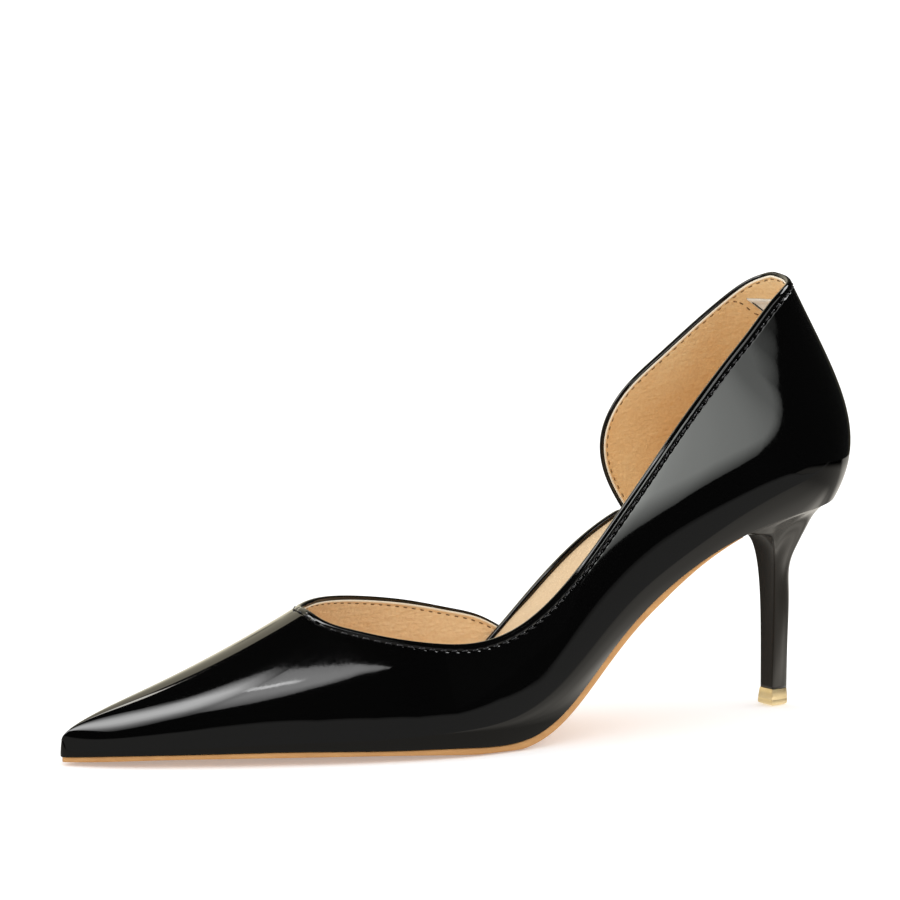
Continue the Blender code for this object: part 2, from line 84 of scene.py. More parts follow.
Rib = namedtuple("Rib", "station outer inner feather lift flare rise shoulder_half shoulder_high"
                 " crown_half crown_high")
RIBS = (
    Rib(0, 26.0, 26.0, 64.6, 0.0, 16.5, 22.0, 22.6, 104.2, 4.4, 140.0),
    Rib(13, 26.3, 24.8, 63.5, 0.3, 11.3, 22.0, 21.5, 102.5, 6.0, 138.0),
    Rib(26, 26.2, 23.8, 59.8, 1.0, 8.0, 22.0, 20.5, 101.0, 7.5, 135.5),
    Rib(45, 26.3, 23.1, 55.2, 2.8, 4.6, 20.0, 20.0, 97.0, 9.5, 128.0),
    Rib(65, 25.8, 22.4, 44.9, 4.5, 3.0, 18.0, 20.0, 89.5, 10.0, 114.0),
    Rib(85, 25.8, 22.0, 30.1, 2.8, 3.2, 17.0, 20.2, 79.0, 7.0, 97.0),
    Rib(105, 28.8, 23.0, 8.8, 3.2, 3.6, 16.0, 20.2, 68.5, 3.0, 81.0),
    Rib(122, 32.5, 26.4, 1.9, 1.2, 3.6, 15.0, 19.4, 60.0, 1.0, 69.0),
    Rib(140, 34.8, 30.8, 2.4, 0.0, 3.2, 14.3, 17.0, 52.3, 0.0, 57.5),
    Rib(160, 33.8, 33.2, 2.95, 0.0, 2.7, 13.4, 12.8, 44.2, 0.0, 45.8),
    Rib(185, 28.4, 30.0, 3.6, 0.0, 2.3, 10.5, 9.0, 32.1, 0.0, 33.0),
    Rib(210, 20.6, 21.7, 3.55, 0.0, 1.8, 7.5, 5.5, 21.7, 0.0, 22.3),
    Rib(230, 12.2, 12.5, 3.15, 0.0, 1.4, 5.0, 2.8, 14.6, 0.0, 15.0),
    Rib(240, 5.6, 5.6, 2.55, 0.0, 0.8, 3.6, 1.2, 10.6, 0.0, 10.8),
    Rib(245, 0.0, 0.0, 2.05, 0.0, 0.0, 2.0, 0.0, 6.2, 0.0, 6.4),
)


def rows_of(kind, *rows):
    """Table with the named columns of its kind."""
    return tuple(kind(*row) for row in rows)


# Free edge of the upper: from the foot of the inner wing, round the back and forward to the throat, then
# back along the inner vamp. Stations of the inner side are negative.
EdgeRow = namedtuple("EdgeRow", "station height")
QUARTER_EDGE = rows_of(
    EdgeRow,
    (-51.5, 53.2), (-54.5, 58.0), (-61, 69.0), (-63.5, 80.5), (-59.5, 91.0), (-47, 102.7), (-31.5, 115.7),
    (-16.5, 125.2), (-9, 127.2), (-4.5, 127.8), (0, 127.5), (6, 126.9), (13, 125.7), (20, 124.2),
    (26, 121.5), (32, 116.9), (38, 111.6), (45, 105.5), (57, 94.2), (65, 86.0), (76, 73.9), (85, 64.0),
    (105, 44.0), (120, 34.2), (135, 30.2), (150, 30.9), (160, 32.6), (167, 34.3), (170.4, 35.4),
    (172.4, 36.7),
)
VAMP_EDGE = rows_of(
    EdgeRow,
    (-166, 39.3), (-157, 39.1), (-141, 37.4), (-126, 34.9), (-113, 31.9), (-102, 28.7), (-95, 24.9),
)
# How far the tread's edges are lifted off the floor along the forefoot.
TREAD_EDGE = rows_of(
    EdgeRow,
    (138, 0.0), (154, 1.0), (170, 1.6), (190, 1.9), (215, 1.9), (228, 1.3), (239, 0.5), (245, 0.2),
)
# Cross-sections of the edge: distance from the free edge and height out of the wall.
Ply = namedtuple("Ply", "depth out")
FOLD = rows_of(
    Ply,
    (2.36, -0.62), (2.36, -0.34), (2.24, -0.18), (2.05, -0.05), (1.80, 0.04), (1.50, 0.09), (1.20, 0.10),
    (0.90, 0.06), (0.64, -0.03), (0.40, -0.18), (0.20, -0.38), (0.06, -0.62), (0.00, -0.86), (0.05, -1.10),
    (0.17, -1.30), (0.32, -1.44), (0.50, -1.54), (0.68, -1.57), (0.86, -1.53), (0.98, -1.40), (1.10, -1.00),
    (1.40, -0.70),
)
SKIN_TOP = rows_of(
    Ply,
    (2.30, -0.45), (2.34, -0.28), (2.46, -0.13), (2.62, -0.05), (2.85, -0.01), (3.20, 0.0),
)
LINING_TOP = rows_of(
    Ply,
    (0.80, -1.58), (0.74, -1.70), (0.80, -1.84), (0.98, -1.93), (1.25, -1.94), (1.52, -1.88), (1.72, -1.76),
    (1.95, -1.64), (2.20, -1.66), (2.55, -1.74), (2.85, -1.74), (3.20, -1.70),
)
LINING_UNDER = (Ply(0.80, -1.58), Ply(1.7, -1.45), Ply(2.2, -1.2), Ply(BAND, LINING_BACK))
# How the wall's foot turns under: reach inward and drop.
Tuck = namedtuple("Tuck", "reach drop")
FOOT_TURN = (Tuck(0.10, 0.13), Tuck(0.32, 0.24), Tuck(0.70, 0.28))
# Seam of the heel grip inside the collar.
GRIP_SEAM = rows_of(
    EdgeRow,
    (-21.5, 118.9), (-17.3, 117.6), (-14.8, 115.8), (-11, 114.9), (0, 114.5), (11, 114.9), (21.5, 117.0),
)

HeelRow = namedtuple("HeelRow", "rise sideways forward backward hollow")
HEEL_ROWS = rows_of(
    HeelRow,
    (0.00, 0.000, 0.000, 0.000, 0.00),
    (0.25, 0.010, 0.008, 0.000, 0.10),
    (0.50, 0.028, 0.022, 0.000, 0.30),
    (0.66, 0.055, 0.043, 0.040, 0.45),
    (0.74, 0.080, 0.062, 0.220, 0.60),
    (0.79, 0.103, 0.081, 0.350, 0.80),
    (0.84, 0.145, 0.112, 0.480, 1.00),
    (0.89, 0.240, 0.180, 0.610, 1.35),
    (0.935, 0.410, 0.305, 0.770, 1.70),
    (0.97, 0.665, 0.555, 0.900, 1.40),
    (1.00, 1.000, 1.000, 1.000, 0.00),
)
# Sections of the stem: height, place of the breast, depth to the back, half width.
StemRow = namedtuple("StemRow", "height front depth half")
STEM_FOOT = StemRow(4.78, 16.7, 7.1, 3.2)
TIP_ROWS = rows_of(
    StemRow,
    (0.0, 16.8, 7.2, 3.30), (0.12, 17.0, 7.6, 3.50), (0.4, 17.1, 7.8, 3.60), (1.40, 17.08, 7.76, 3.58),
    (1.52, 17.02, 7.64, 3.52), (1.68, 17.02, 7.64, 3.52), (1.80, 17.06, 7.72, 3.56),
    (3.2, 16.92, 7.44, 3.42), (4.5, 16.8, 7.2, 3.25), (4.75, 16.6, 6.8, 3.05),
)
# Seat of the heel: inset, station of the breast, gap under the bed, tuck under the upper and where it fades.
Seat = namedtuple("Seat", "inset breast gap tuck fades")
SEAT = Seat(0.6, 44.0, 0.3, 0.6, (0.3, 1.2))
# Layers of the foot bed: insets from the feather edge, ends, faces square to the bed, loss along the
# open waist, radii of the edges. The outsole has a lower face of its own.
Layer = namedtuple("Layer", "inset waist_inset start end low high waist_less top_round low_round")
OUTSOLE = Layer(0.5, 0.5, 45.0, 260.0, None, -0.29, 0.0, 0.25, 0.7)
INSOLE = Layer(1.95, 0.4, -20.0, 236.0, -0.2, 2.0, 0.0, 0.8, 0.4)
SOCK = Layer(2.05, 2.2, -20.0, 228.0, 2.05, 3.2, 0.5, 0.4, 0.1)
# Binding of the waist: stations of its ends and of the stretch that shows, heights, half width, inset.
Binding = namedtuple("Binding", "ends rises falls top shows low half inset")
BINDING = Binding((47.0, 106.0), (50.0, 56.0), (98.0, 104.0), 2.6, 1.3, -0.1, 1.2, 1.6)
# Bare label: front and back are lifts off the lining, seam is the inset of its thread.
Label = namedtuple("Label", "top high half taper hem front back seam")
LABEL = Label(120.0, 8.0, 17.0, 12.0, 0.3, 0.36, 0.04, 0.8)
# Threads, and the lines that they follow.
Thread = namedtuple("Thread", "length radius arch sink")
SEAM_THREAD = Thread(2.1, 0.24, 0.14, 0.25)
LINING_THREAD = Thread(1.6, 0.18, 0.06, 0.22)
GRIP_THREAD = Thread(1.7, 0.2, 0.06, 0.2)
LABEL_THREAD = Thread(1.5, 0.24, 0.06, 0.1)
SEAM_LINE = Ply(2.33, -0.10)
LINING_LINE = Ply(2.02, -1.66)
GRIP_STEP = 1.35


# Numbers along the last
def ease(x, low, high):
    """Smooth step from 0 at low to 1 at high."""
    s = np.clip((x - low) / (high - low), 0.0, 1.0)
    return s * s * (3.0 - 2.0 * s)


def spline(knots, values, at):
    """Natural cubic curve through values."""
    k = np.asarray(knots, float)
    v = np.asarray(values, float)
    n = len(k)
    h = np.diff(k)
    m = np.eye(n)
    r = np.zeros(n)
    for i in range(1, n - 1):
        m[i, i - 1:i + 2] = h[i - 1], 2.0 * (h[i - 1] + h[i]), h[i]
        r[i] = 6.0 * ((v[i + 1] - v[i]) / h[i] - (v[i] - v[i - 1]) / h[i - 1])
    c = np.linalg.solve(m, r)
    at = np.asarray(at, float)
    i = np.clip(np.searchsorted(k, at, side="right") - 1, 0, n - 2)
    a = (k[i + 1] - at) / h[i]
    b = 1.0 - a
    return a * v[i] + b * v[i + 1] + ((a ** 3 - a) * c[i] + (b ** 3 - b) * c[i + 1]) * h[i] ** 2 / 6.0


def soften(values, spread):
    """Even out evenly spaced values, keeping both ends."""
    reach = int(4 * spread)
    kernel = np.exp(-0.5 * (np.arange(-reach, reach + 1) / spread) ** 2)
    head = 2.0 * values[0] - values[reach:0:-1]
    tail = 2.0 * values[-1] - values[-2:-reach - 2:-1]
    return np.convolve(np.concatenate((head, values, tail)), kernel / kernel.sum(), mode="valid")


def way(station):
    """Signed place along the last: 0 at the back, 1 at the toe on the outer side, -1 on the inner side."""
    s = np.asarray(station, float)
    return np.sign(s) * (1.0 - np.sqrt(np.maximum(0.0, 1.0 - np.abs(s) / LENGTH)))


def station(w):
    """Signed station of a place."""
    return np.sign(w) * LENGTH * (1.0 - (1.0 - np.abs(w)) ** 2)


WAYS = np.linspace(-1.0, 1.0, 4001)


def last_columns():
    """Every size of the last over the signed way."""
    rows = RIBS[1:]
    knots = np.concatenate((way([-r.station for r in reversed(rows)]), [0.0], way([r.station for r in rows])))
    found = {}

    def add(name, inner, outer):
        values = [inner(r) for r in reversed(rows)] + [outer(RIBS[0])] + [outer(r) for r in rows]
        found[name] = soften(spline(knots, values, WAYS), RIB_SPREAD)

    add("half", lambda r: r.inner, lambda r: r.outer)
    add("foot", lambda r: r.feather + r.lift, lambda r: r.feather)
    for name in ("flare", "rise", "shoulder_half", "shoulder_high", "crown_half", "crown_high"):
        add(name, lambda r: getattr(r, name), lambda r: getattr(r, name))
    s = np.abs(station(WAYS))
    found["crown_half"] *= 1.0 - ease(s, *CROWN_CLOSES)
    gap = found["crown_high"] - found["shoulder_high"]
    found["shoulder_high"] = found["crown_high"] - gap * (1.0 - ease(s, *SHOULDER_CLOSES))
    found["flare"] = np.maximum(found["flare"], 0.0)
    return found


COLUMN = last_columns()
ALONG = np.linspace(-70.0, 70.0, 1401)
TURN = soften(np.clip(ALONG / FAN, -1.0, 1.0) * math.pi / 2.0, FAN_SPREAD)
AXIS = soften(np.maximum(np.abs(ALONG), FAN), FAN_SPREAD)
BEND_AT = np.linspace(0.0, LENGTH, 2451)
BEND_SHARE = np.clip((BEND_AT - TURN_START) / (LENGTH - TURN_START), 0.0, 1.0)
BEND = soften(TOE_TURN * BEND_SHARE ** TURN_POWER, TURN_SPREAD)


def size(name, w):
    return np.interp(w, WAYS, COLUMN[name])


def profile(w, t):
    """Reach and height of the wall at share t of a rib."""
    u = 1.0 - t
    weight = (u ** 3, 3.0 * t * u * u, 3.0 * t * t * u, t ** 3)
    half = size("half", w)
    foot = size("foot", w)
    reach = (half, half + size("flare", w), size("shoulder_half", w), size("crown_half", w))
    high = (foot, foot + size("rise", w), size("shoulder_high", w), size("crown_high", w))
    return sum(a * b for a, b in zip(weight, reach)), sum(a * b for a, b in zip(weight, high))


def wall(w, t):
    """Point of the upper's outer face."""
    reach, high = profile(w, t)
    s = station(w)
    turn = np.interp(s, ALONG, TURN)
    axis = np.where(np.abs(s) < 65.0, np.interp(s, ALONG, AXIS), np.abs(s))
    x = axis - np.cos(turn) * reach
    y = np.interp(np.abs(s), BEND_AT, BEND) + np.sin(turn) * reach
    return np.stack((x - SHIFT_X, y - SHIFT_Y, high), -1)


def unit(v):
    return v / np.maximum(np.linalg.norm(v, axis=-1, keepdims=True), 1e-12)


def slopes(w, t):
    """Steps of the wall along the way and up the rib."""
    e = 0.001
    ahead = np.minimum(w + e, 1.0)
    behind = np.maximum(w - e, -1.0)
    above = np.minimum(t + e, 1.0)
    below = np.maximum(t - e, 0.0)
    along = (wall(ahead, t) - wall(behind, t)) / (ahead - behind)[..., None]
    up = (wall(w, above) - wall(w, below)) / (above - below)[..., None]
    return along, up


def outward(w, t):
    along, up = slopes(w, t)
    return unit(np.cross(up, along))


def share_at(w, height):
    """Share of a rib at a height."""
    low = np.zeros_like(w)
    high = np.ones_like(w)
    for _ in range(40):
        mid = 0.5 * (low + high)
        less = profile(w, mid)[1] < height
        low = np.where(less, mid, low)
        high = np.where(less, high, mid)
    return 0.5 * (low + high)


def arc(points):
    return np.concatenate(([0.0], np.cumsum(np.linalg.norm(np.diff(points, axis=0), axis=1))))


def free_edge(rows):
    """Places and shares along a free edge, a few to each stitch. The throat's end lies on the crown."""
    s = np.array([r.station for r in rows], float)
    z = np.array([r.height for r in rows], float)
    chord = arc(np.stack((s, z), -1))
    fine = np.linspace(0.0, chord[-1], 3000)
    w = way(spline(chord, s, fine))
    t = share_at(w, spline(chord, z, fine))
    t[np.abs(s[[0, -1]]).argmax() * -1] = 1.0
    length = arc(wall(w, t))
    count = PER_STITCH * int(round(length[-1] / STITCH))
    at = np.linspace(0.0, length[-1], count + 1)
    return np.interp(at, length, w), np.interp(at, length, t)


def march(w, t):
    """Lines square to a free edge into the wall: places and shares by distance from the edge."""
    across = unit(np.cross(outward(w, t), unit(np.gradient(wall(w, t), axis=0))))
    found = [(w, t)]
    for _ in range(int(round(BAND / MARCH))):
        along, up = slopes(w, t)
        normal = unit(np.cross(up, along))
        across = unit(across - (across * normal).sum(-1, keepdims=True) * normal)
        aa = (along * along).sum(-1)
        ab = (along * up).sum(-1)
        bb = (up * up).sum(-1)
        ra = (along * across).sum(-1)
        rb = (up * across).sum(-1)
        det = aa * bb - ab * ab
        w = w + MARCH * (ra * bb - rb * ab) / det
        t = np.clip(t + MARCH * (aa * rb - ab * ra) / det, 0.0, 1.0)
        found.append((w, t))
    return np.array([f[0] for f in found]), np.array([f[1] for f in found])


class Edge:
    """A free edge with its band of wall."""

    def __init__(self, rows):
        w, t = free_edge(rows)
        self.ways, self.shares = march(w, t)
        self.pinch = 0.5 + 0.5 * np.cos(2.0 * math.pi * np.arange(len(w)) / PER_STITCH)

    def place(self, depth):
        """Place and share of every column at a distance from the edge."""
        at = min(max(depth / MARCH, 0.0), len(self.ways) - 1.001)
        i = int(at)
        f = at - i
        return tuple(v[i] * (1 - f) + v[i + 1] * f for v in (self.ways, self.shares))

    def line(self, depth, out, dent=0.0):
        """Points of every column at a distance from the edge and a height out of the wall."""
        w, t = self.place(depth)
        lift = out - dent * self.pinch
        return wall(w, t) + outward(w, t) * np.asarray(lift)[..., None]


throat = EdgeRow(THROAT, float(size("crown_high", way(THROAT))))
QUARTER = Edge(QUARTER_EDGE + (throat,))
VAMP = Edge((EdgeRow(-throat.station, throat.height),) + VAMP_EDGE)


# Meshes
def add_object(name, data):
    item = bpy.data.objects.new(name, data)
    bpy.context.scene.collection.objects.link(item)
    return item


def set_normals(item, points, normals):
    """Give the vertices that lie on points the normals of the surface itself."""
    tree = kdtree.KDTree(len(points))
    for i, point in enumerate(np.asarray(points) * MM):
        tree.insert(point, i)
    tree.balance()
    found = []
    for vertex in item.data.vertices:
        i, gap = tree.find(vertex.co)[1:]
        found.append(Vector(normals[i]) if gap < SAME_POINT else vertex.normal.copy())
    item.data.normals_split_custom_set_from_vertices(found)


class Sheet:
    """Points and faces gathered from grids, in millimetres."""

    def __init__(self):
        self.points = []
        self.faces = []
        self.index = []
        self.count = 0

    def grid(self, rows, material=0, wrap=False):
        """Grid of points; wrap closes its columns. A list of materials has one for each gap between rows."""
        rows = np.asarray(rows)
        n, m = rows.shape[:2]
        number = self.count + np.arange(n * m).reshape(n, m)
        self.points.append(rows.reshape(-1, 3))
        self.count += n * m
        right = np.roll(number, -1, axis=1) if wrap else number[:, 1:]
        left = number if wrap else number[:, :-1]
        quads = np.stack((left[:-1], right[:-1], right[1:], left[1:]), -1)
        for j in range(n - 1):
            self.faces.extend(quads[j].tolist())
            self.index.extend([material[j] if isinstance(material, list) else material] * quads.shape[1])

    def grids(self, *grids):
        for rows in grids:
            self.grid(rows)

    def cap(self, ring):
        """Fan of faces over a closed ring of points."""
        ring = np.asarray(ring)
        numbers = self.count + np.arange(len(ring))
        self.points.append(np.concatenate((ring, ring.mean(0, keepdims=True))))
        self.count += len(ring) + 1
        after = np.roll(numbers, -1)
        self.faces.extend(np.stack((numbers, after, np.full(len(ring), self.count - 1)), -1).tolist())
        self.index.extend([0] * len(ring))

    def tube(self, rings):
        """Closed rings with both ends capped."""
        self.grid(rings, wrap=True)
        self.cap(rings[0])
        self.cap(rings[-1])
        return self

    def piece(self, name, materials, slot):
        """A welded, closed mesh that rides on the shoe."""
        mesh = bpy.data.meshes.new(name)
        mesh.from_pydata((np.concatenate(self.points) * MM).tolist(), [], self.faces)
        for material in materials:
            mesh.materials.append(material)
        mesh.polygons.foreach_set("material_index", np.asarray(self.index, np.int32))
        bm = bmesh.new()
        bm.from_mesh(mesh)
        bmesh.ops.remove_doubles(bm, verts=bm.verts, dist=WELD)
        bmesh.ops.dissolve_degenerate(bm, edges=bm.edges, dist=SLIVER)
        open_edges = [e for e in bm.edges if len(e.link_faces) == 1]
        if open_edges:
            bmesh.ops.holes_fill(bm, edges=open_edges, sides=0)
        loose = [v for v in bm.verts if not v.link_faces]
        bmesh.ops.delete(bm, geom=loose, context="VERTS")
        bmesh.ops.recalc_face_normals(bm, faces=bm.faces)
        bm.to_mesh(mesh)
        bm.free()
        for face in mesh.polygons:
            face.use_smooth = True
        item = add_object(name, mesh)
        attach(item, "root")
        return item


def body_line(edge, last):
    """Ends of every column of the wall below the band: place and share at the top, place at the foot."""
    w, t = edge.place(BAND)
    foot = w.copy()
    if not last:
        wing = w < 0.0
        count = int(wing.sum())
        way_back = arc(wall(w[:count + 1], t[:count + 1]))
        foot[:count] = w[0] * (1.0 - way_back[:count] / way_back[-1])
    return w, t, foot


def fan_feet(w, t, foot, low, high):
    """Feet of the columns spread evenly below the throat, between two stations."""
    s = np.abs(station(w))
    inside = np.nonzero((s > low) & (s < high))[0]
    a, b = inside[0], inside[-1]
    length = arc(wall(w[a:b + 1], t[a:b + 1]))
    foot[a:b + 1] = w[a] + (w[b] - w[a]) * length / length[-1]


def body_places(w, t, foot):
    """Places and shares of the wall in rows from its top line to the feather edge."""
    return [(w + (foot - w) * f, t * (1.0 - f)) for f in np.linspace(0.0, 1.0, BODY_ROWS + 1)]


def body(w, t, foot, out):
    return [wall(ww, tt) + outward(ww, tt) * out for ww, tt in body_places(w, t, foot)]


def foot_turn(foot, steps):
    """Rows that turn the wall's foot under."""
    flat = np.zeros_like(foot)
    base = wall(foot, flat)
    out = outward(foot, flat)
    up = unit(slopes(foot, flat)[1])
    return [base - out * step.reach - up * step.drop for step in steps]


def toe_columns(edge_end, end):
    """Places from the throat band to the toe along the crown."""
    return np.linspace(edge_end, end, TOE_COLUMNS + 1)[1:]


def build_skin(material):
    """Patent skin of the upper below the stitch line, closed round the toe."""
    qw, qt, qf = body_line(QUARTER, False)
    vw, vt, vf = body_line(VAMP, True)
    toe_out = toe_columns(qw[-1], 1.0)
    toe_in = -toe_columns(-vw[0], 1.0)[::-1]
    w = np.concatenate((qw, toe_out, toe_in, vw))
    t = np.concatenate((qt, np.ones(len(toe_out) + len(toe_in)), vt))
    foot = np.concatenate((qf, toe_out, toe_in, vf))
    for half in (w > 0.0, w < 0.0):
        run = np.nonzero(half)[0]
        run = run[run >= len(qw) // 2]
        feet = foot[run]
        fan_feet(w[run], t[run], feet, *THROAT_FEET)
        foot[run] = feet
    outer = body(w, t, foot, 0.0) + foot_turn(foot, FOOT_TURN)
    inner = body(w, t, foot, -SKIN)
    sheet = Sheet()
    sheet.grids(outer, inner, (outer[-1], inner[-1]))
    for edge in (QUARTER, VAMP):
        dents = [SKIN_DENT * (1.0 - ease(p.depth, SKIN_TOP[0].depth, BAND)) for p in SKIN_TOP]
        top = [edge.line(p.depth, p.out, dent) for p, dent in zip(SKIN_TOP, dents)]
        under = [edge.line(SKIN_TOP[0].depth, -SKIN), edge.line(BAND, -SKIN)]
        sheet.grids(top, under, (top[0], under[0]))
    item = sheet.piece("upper_skin", [material], "black_patent")
    inside = np.abs(w) < NOSE
    rows = [(wall(ww, tt)[inside], outward(ww, tt)[inside]) for ww, tt in body_places(w, t, foot)]
    set_normals(item, np.concatenate([r[0] for r in rows]), np.concatenate([r[1] for r in rows]))
    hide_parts("upper")


def build_fold(material):
    """Folded top edge, one closed roll along each free edge."""
    for name, edge in (("upper_fold_quarter", QUARTER), ("upper_fold_vamp", VAMP)):
        dents = [FOLD_DENT * ease(p.depth, 1.5, 2.3) * (p.out > -0.5) for p in FOLD]
        ring = [edge.line(p.depth, p.out, dent) for p, dent in zip(FOLD, dents)]
        Sheet().tube(np.swapaxes(np.array(ring), 0, 1)).piece(name, [material], "black_patent")


def build_lining(quarter, vamp, raw):
    """Tan lining inside the wall, with a pale raw edge below the fold. Quarter and vamp take a darker and a
    lighter copy of one leather: painted shade and painted light.
    """
    paint = [1 if p.depth < RAW_EDGE else 0 for p in LINING_TOP[1:]]
    end = float(way(LINING_END))
    pieces = (("lining_quarter", QUARTER, False, quarter), ("lining_vamp", VAMP, True, vamp))
    for name, edge, last, hide in pieces:
        w, t, foot = body_line(edge, last)
        toe = -toe_columns(-w[0], end)[::-1] if last else toe_columns(w[-1], end)
        order = -1 if last else 1
        pairs = ((w, toe), (t, np.ones(len(toe))), (foot, toe))
        w, t, foot = (np.concatenate(pair[::order]) for pair in pairs)
        face = body(w, t, foot, LINING_FACE)
        back = body(w, t, foot, LINING_BACK)
        side = 0 if last else -1
        sheet = Sheet()
        sheet.grids(face, back, (face[-1], back[-1]), [[row[side] for row in rows] for rows in (face, back)])
        sheet.grid([edge.line(p.depth, p.out) for p in LINING_TOP], paint)
        sheet.grid([edge.line(p.depth, p.out) for p in LINING_UNDER])
        sheet.piece(name, [hide, raw], "tan_sock")


def thread(points, normals, along, kind):
    """Short arched thread at every point."""
    sheet = Sheet()
    sides = 7
    turn = np.arange(sides) * 2.0 * math.pi / sides
    side_way = np.cross(normals, along)
    for i in range(len(points)):
        rings = []
        for a in 2.0 * np.arange(7) / 6 - 1.0:
            thin = kind.radius * (0.45 + 0.55 * math.sqrt(max(0.0, 1.0 - a ** 4)))
            lift = kind.arch * (1.0 - a * a) - kind.sink * a ** 4
            centre = points[i] + along[i] * a * kind.length / 2 + normals[i] * lift
            sideways = np.outer(np.cos(turn) * thin, side_way[i])
            rings.append(centre + sideways + np.outer(np.sin(turn) * thin, normals[i]))
        sheet.tube(rings)
    return sheet


def stitch_places(edge, line):
    """Middle of every stitch along an edge, with the way out and the way along."""
    points = edge.line(line.depth, line.out)
    normals = outward(*edge.place(line.depth))
    along = unit(np.gradient(points, axis=0))
    mid = np.arange(2, len(points) - 2, PER_STITCH)
    middle = 0.5 * (points[mid] + points[mid + 1])
    return middle, unit(normals[mid] + normals[mid + 1]), unit(along[mid] + along[mid + 1])


def build_stitches(black, brown):
    """Seam under the fold: dark thread outside, brown thread on the lining."""
    for name, edge in (("quarter", QUARTER), ("vamp", VAMP)):
        points, normals, along = stitch_places(edge, SEAM_LINE)
        thread(points, normals, along, SEAM_THREAD).piece("stitches_" + name, [black], "black_patent")
        points, normals, along = stitch_places(edge, LINING_LINE)
        thread(points, -normals, along, LINING_THREAD).piece("lining_stitches_" + name, [brown], "tan_sock")


def inside_place(stations, heights, out):
    """Points of the wall at stations and heights, with the way out of the wall."""
    w = way(stations)
    t = share_at(w, np.asarray(heights, float))
    normals = outward(w, t)
    return wall(w, t) + normals * out, normals


def build_label(cloth):
    """Small blank label inside the back of the collar, narrower at its foot."""
    faces = []
    for out, hem in ((LINING_FACE - LABEL.front, LABEL.hem), (LINING_FACE - LABEL.back, 0.0)):
        rows = []
        for f in np.linspace(0.0, 1.0, 17):
            stations = np.linspace(-1.0, 1.0, 41) * (LABEL.half - LABEL.taper * f)
            rise = hem * float(1.0 - ease(f, 0.10, 0.17))
            heights = np.full(41, LABEL.top - LABEL.high * f)
            rows.append(inside_place(stations, heights, out - rise)[0])
        faces.append(np.array(rows))
    front, back = faces
    sheet = Sheet()
    sheet.grids(front, back, (front[0], back[0]), (front[-1], back[-1]))
    sheet.grids((front[:, 0], back[:, 0]), (front[:, -1], back[:, -1]))
    sheet.piece("collar_label", [cloth], "tan_sock")


def build_small_seams(black, brown):
    """Seam of the heel grip inside the collar and thread down the side of the label."""
    s = [r.station for r in GRIP_SEAM]
    at = np.arange(s[0], s[-1], GRIP_STEP)
    points, normals = inside_place(at, spline(s, [r.height for r in GRIP_SEAM], at), LINING_FACE)
    along = unit(np.gradient(points, axis=0))
    sheet = thread(points[::2], -normals[::2], along[::2], GRIP_THREAD)
    sheet.piece("grip_seam", [brown], "tan_sock")
    f = np.linspace(0.16, 0.84, 9)
    stations = LABEL.taper * f - (LABEL.half - LABEL.seam)
    points, normals = inside_place(stations, LABEL.top - LABEL.high * f, LINING_FACE - LABEL.front)
    sheet = thread(points, -normals, unit(np.gradient(points, axis=0)), LABEL_THREAD)
    sheet.piece("label_seam", [black], "tan_sock")


# Foot bed
def foot_line(side):
    """Feather edge of one side, heel to toe."""
    w = side * np.linspace(0.0, 1.0, 1601)
    return wall(w, np.zeros_like(w))


OUTER_FOOT = foot_line(1.0)
INNER_FOOT = foot_line(-1.0)


def feather(x, axis):
    """Feather edge of the outer and the inner side at x: sideways for axis 1, height for axis 2."""
    return [np.interp(x, line[:, 0], line[:, axis]) for line in (OUTER_FOOT, INNER_FOOT)]


def bed(x, y):
    """Height of the feather line across the shoe."""
    yo, yi = feather(x, 1)
    zo, zi = feather(x, 2)
    share = np.where(yo - yi > 0.001, np.clip((yo - y) / np.maximum(yo - yi, 0.001), 0.0, 1.0), 0.5)
    return zo + (zi - zo) * share


def stretch(x):
    """Upright length of one unit measured square to the bed."""
    slope = 0.5 * (bed(x + 1.0, 0.0) - bed(x - 1.0, 0.0))
    return np.sqrt(1.0 + slope * slope)


def waist(x):
    """1 along the open inner waist, 0 inside the wing and the vamp."""
    return np.minimum(ease(x, 52.0, 61.0), 1.0 - ease(x, 86.0, 95.0))


def inset_line(line, side, inset, waist_inset):
    """Feather edge moved inward in plan."""
    step = np.gradient(line[:, :2], axis=0)
    step[0] = (0.0, side)
    step[-1] = (0.0, -side)
    step = unit(step)
    reach = inset + (waist_inset - inset) * waist(line[:, 0] + SHIFT_X)
    moved = line[:, :2] + np.stack((side * step[:, 1] * reach, -side * step[:, 0] * reach), -1)
    keep = np.concatenate(([True], np.diff(np.maximum.accumulate(moved[:, 0])) > 1e-6))
    return moved[keep]


def bed_outline(inset, waist_inset):
    """Outer and inner outline of a layer of the foot bed."""
    outer = inset_line(OUTER_FOOT, 1.0, inset, inset)
    return outer, inset_line(INNER_FOOT, -1.0, inset, waist_inset)


def tread(x, y):
    """Height of the tread over the floor: flat in the middle, eased up toward the edges of the forefoot."""
    yo, yi = feather(x, 1)
    out = np.abs(y - 0.5 * (yo + yi)) / np.maximum(0.5 * (yo - yi), 0.001)
    share = np.clip((out - 0.15) / 0.85, 0.0, 1.0)
    at = np.clip(x + SHIFT_X, TREAD_EDGE[0].station, LENGTH)
    lift = spline([r.station for r in TREAD_EDGE], [r.height for r in TREAD_EDGE], at)
    return np.maximum(lift, 0.0) * share + 0.5 * ease(at, 205.0, 240.0)


def sole_low(x, y):
    """Lower face of the sole: skived to the bed at the waist, on the floor from the ball forward."""
    drop = 0.5 + 2.1 * np.clip((x + 74.8) / 27.0, 0.0, 1.0)
    skived = np.maximum(0.0, bed(x, y) - drop * stretch(x))
    return np.where(x + SHIFT_X > TREAD_EDGE[0].station, tread(x, y), skived)


def over_bed(gap, waist_less=0.0):
    """Height of a face that runs a gap over the bed, less along the open waist."""
    return lambda x, y: bed(x, y) + (gap - waist_less * waist(x + SHIFT_X)) * stretch(x)


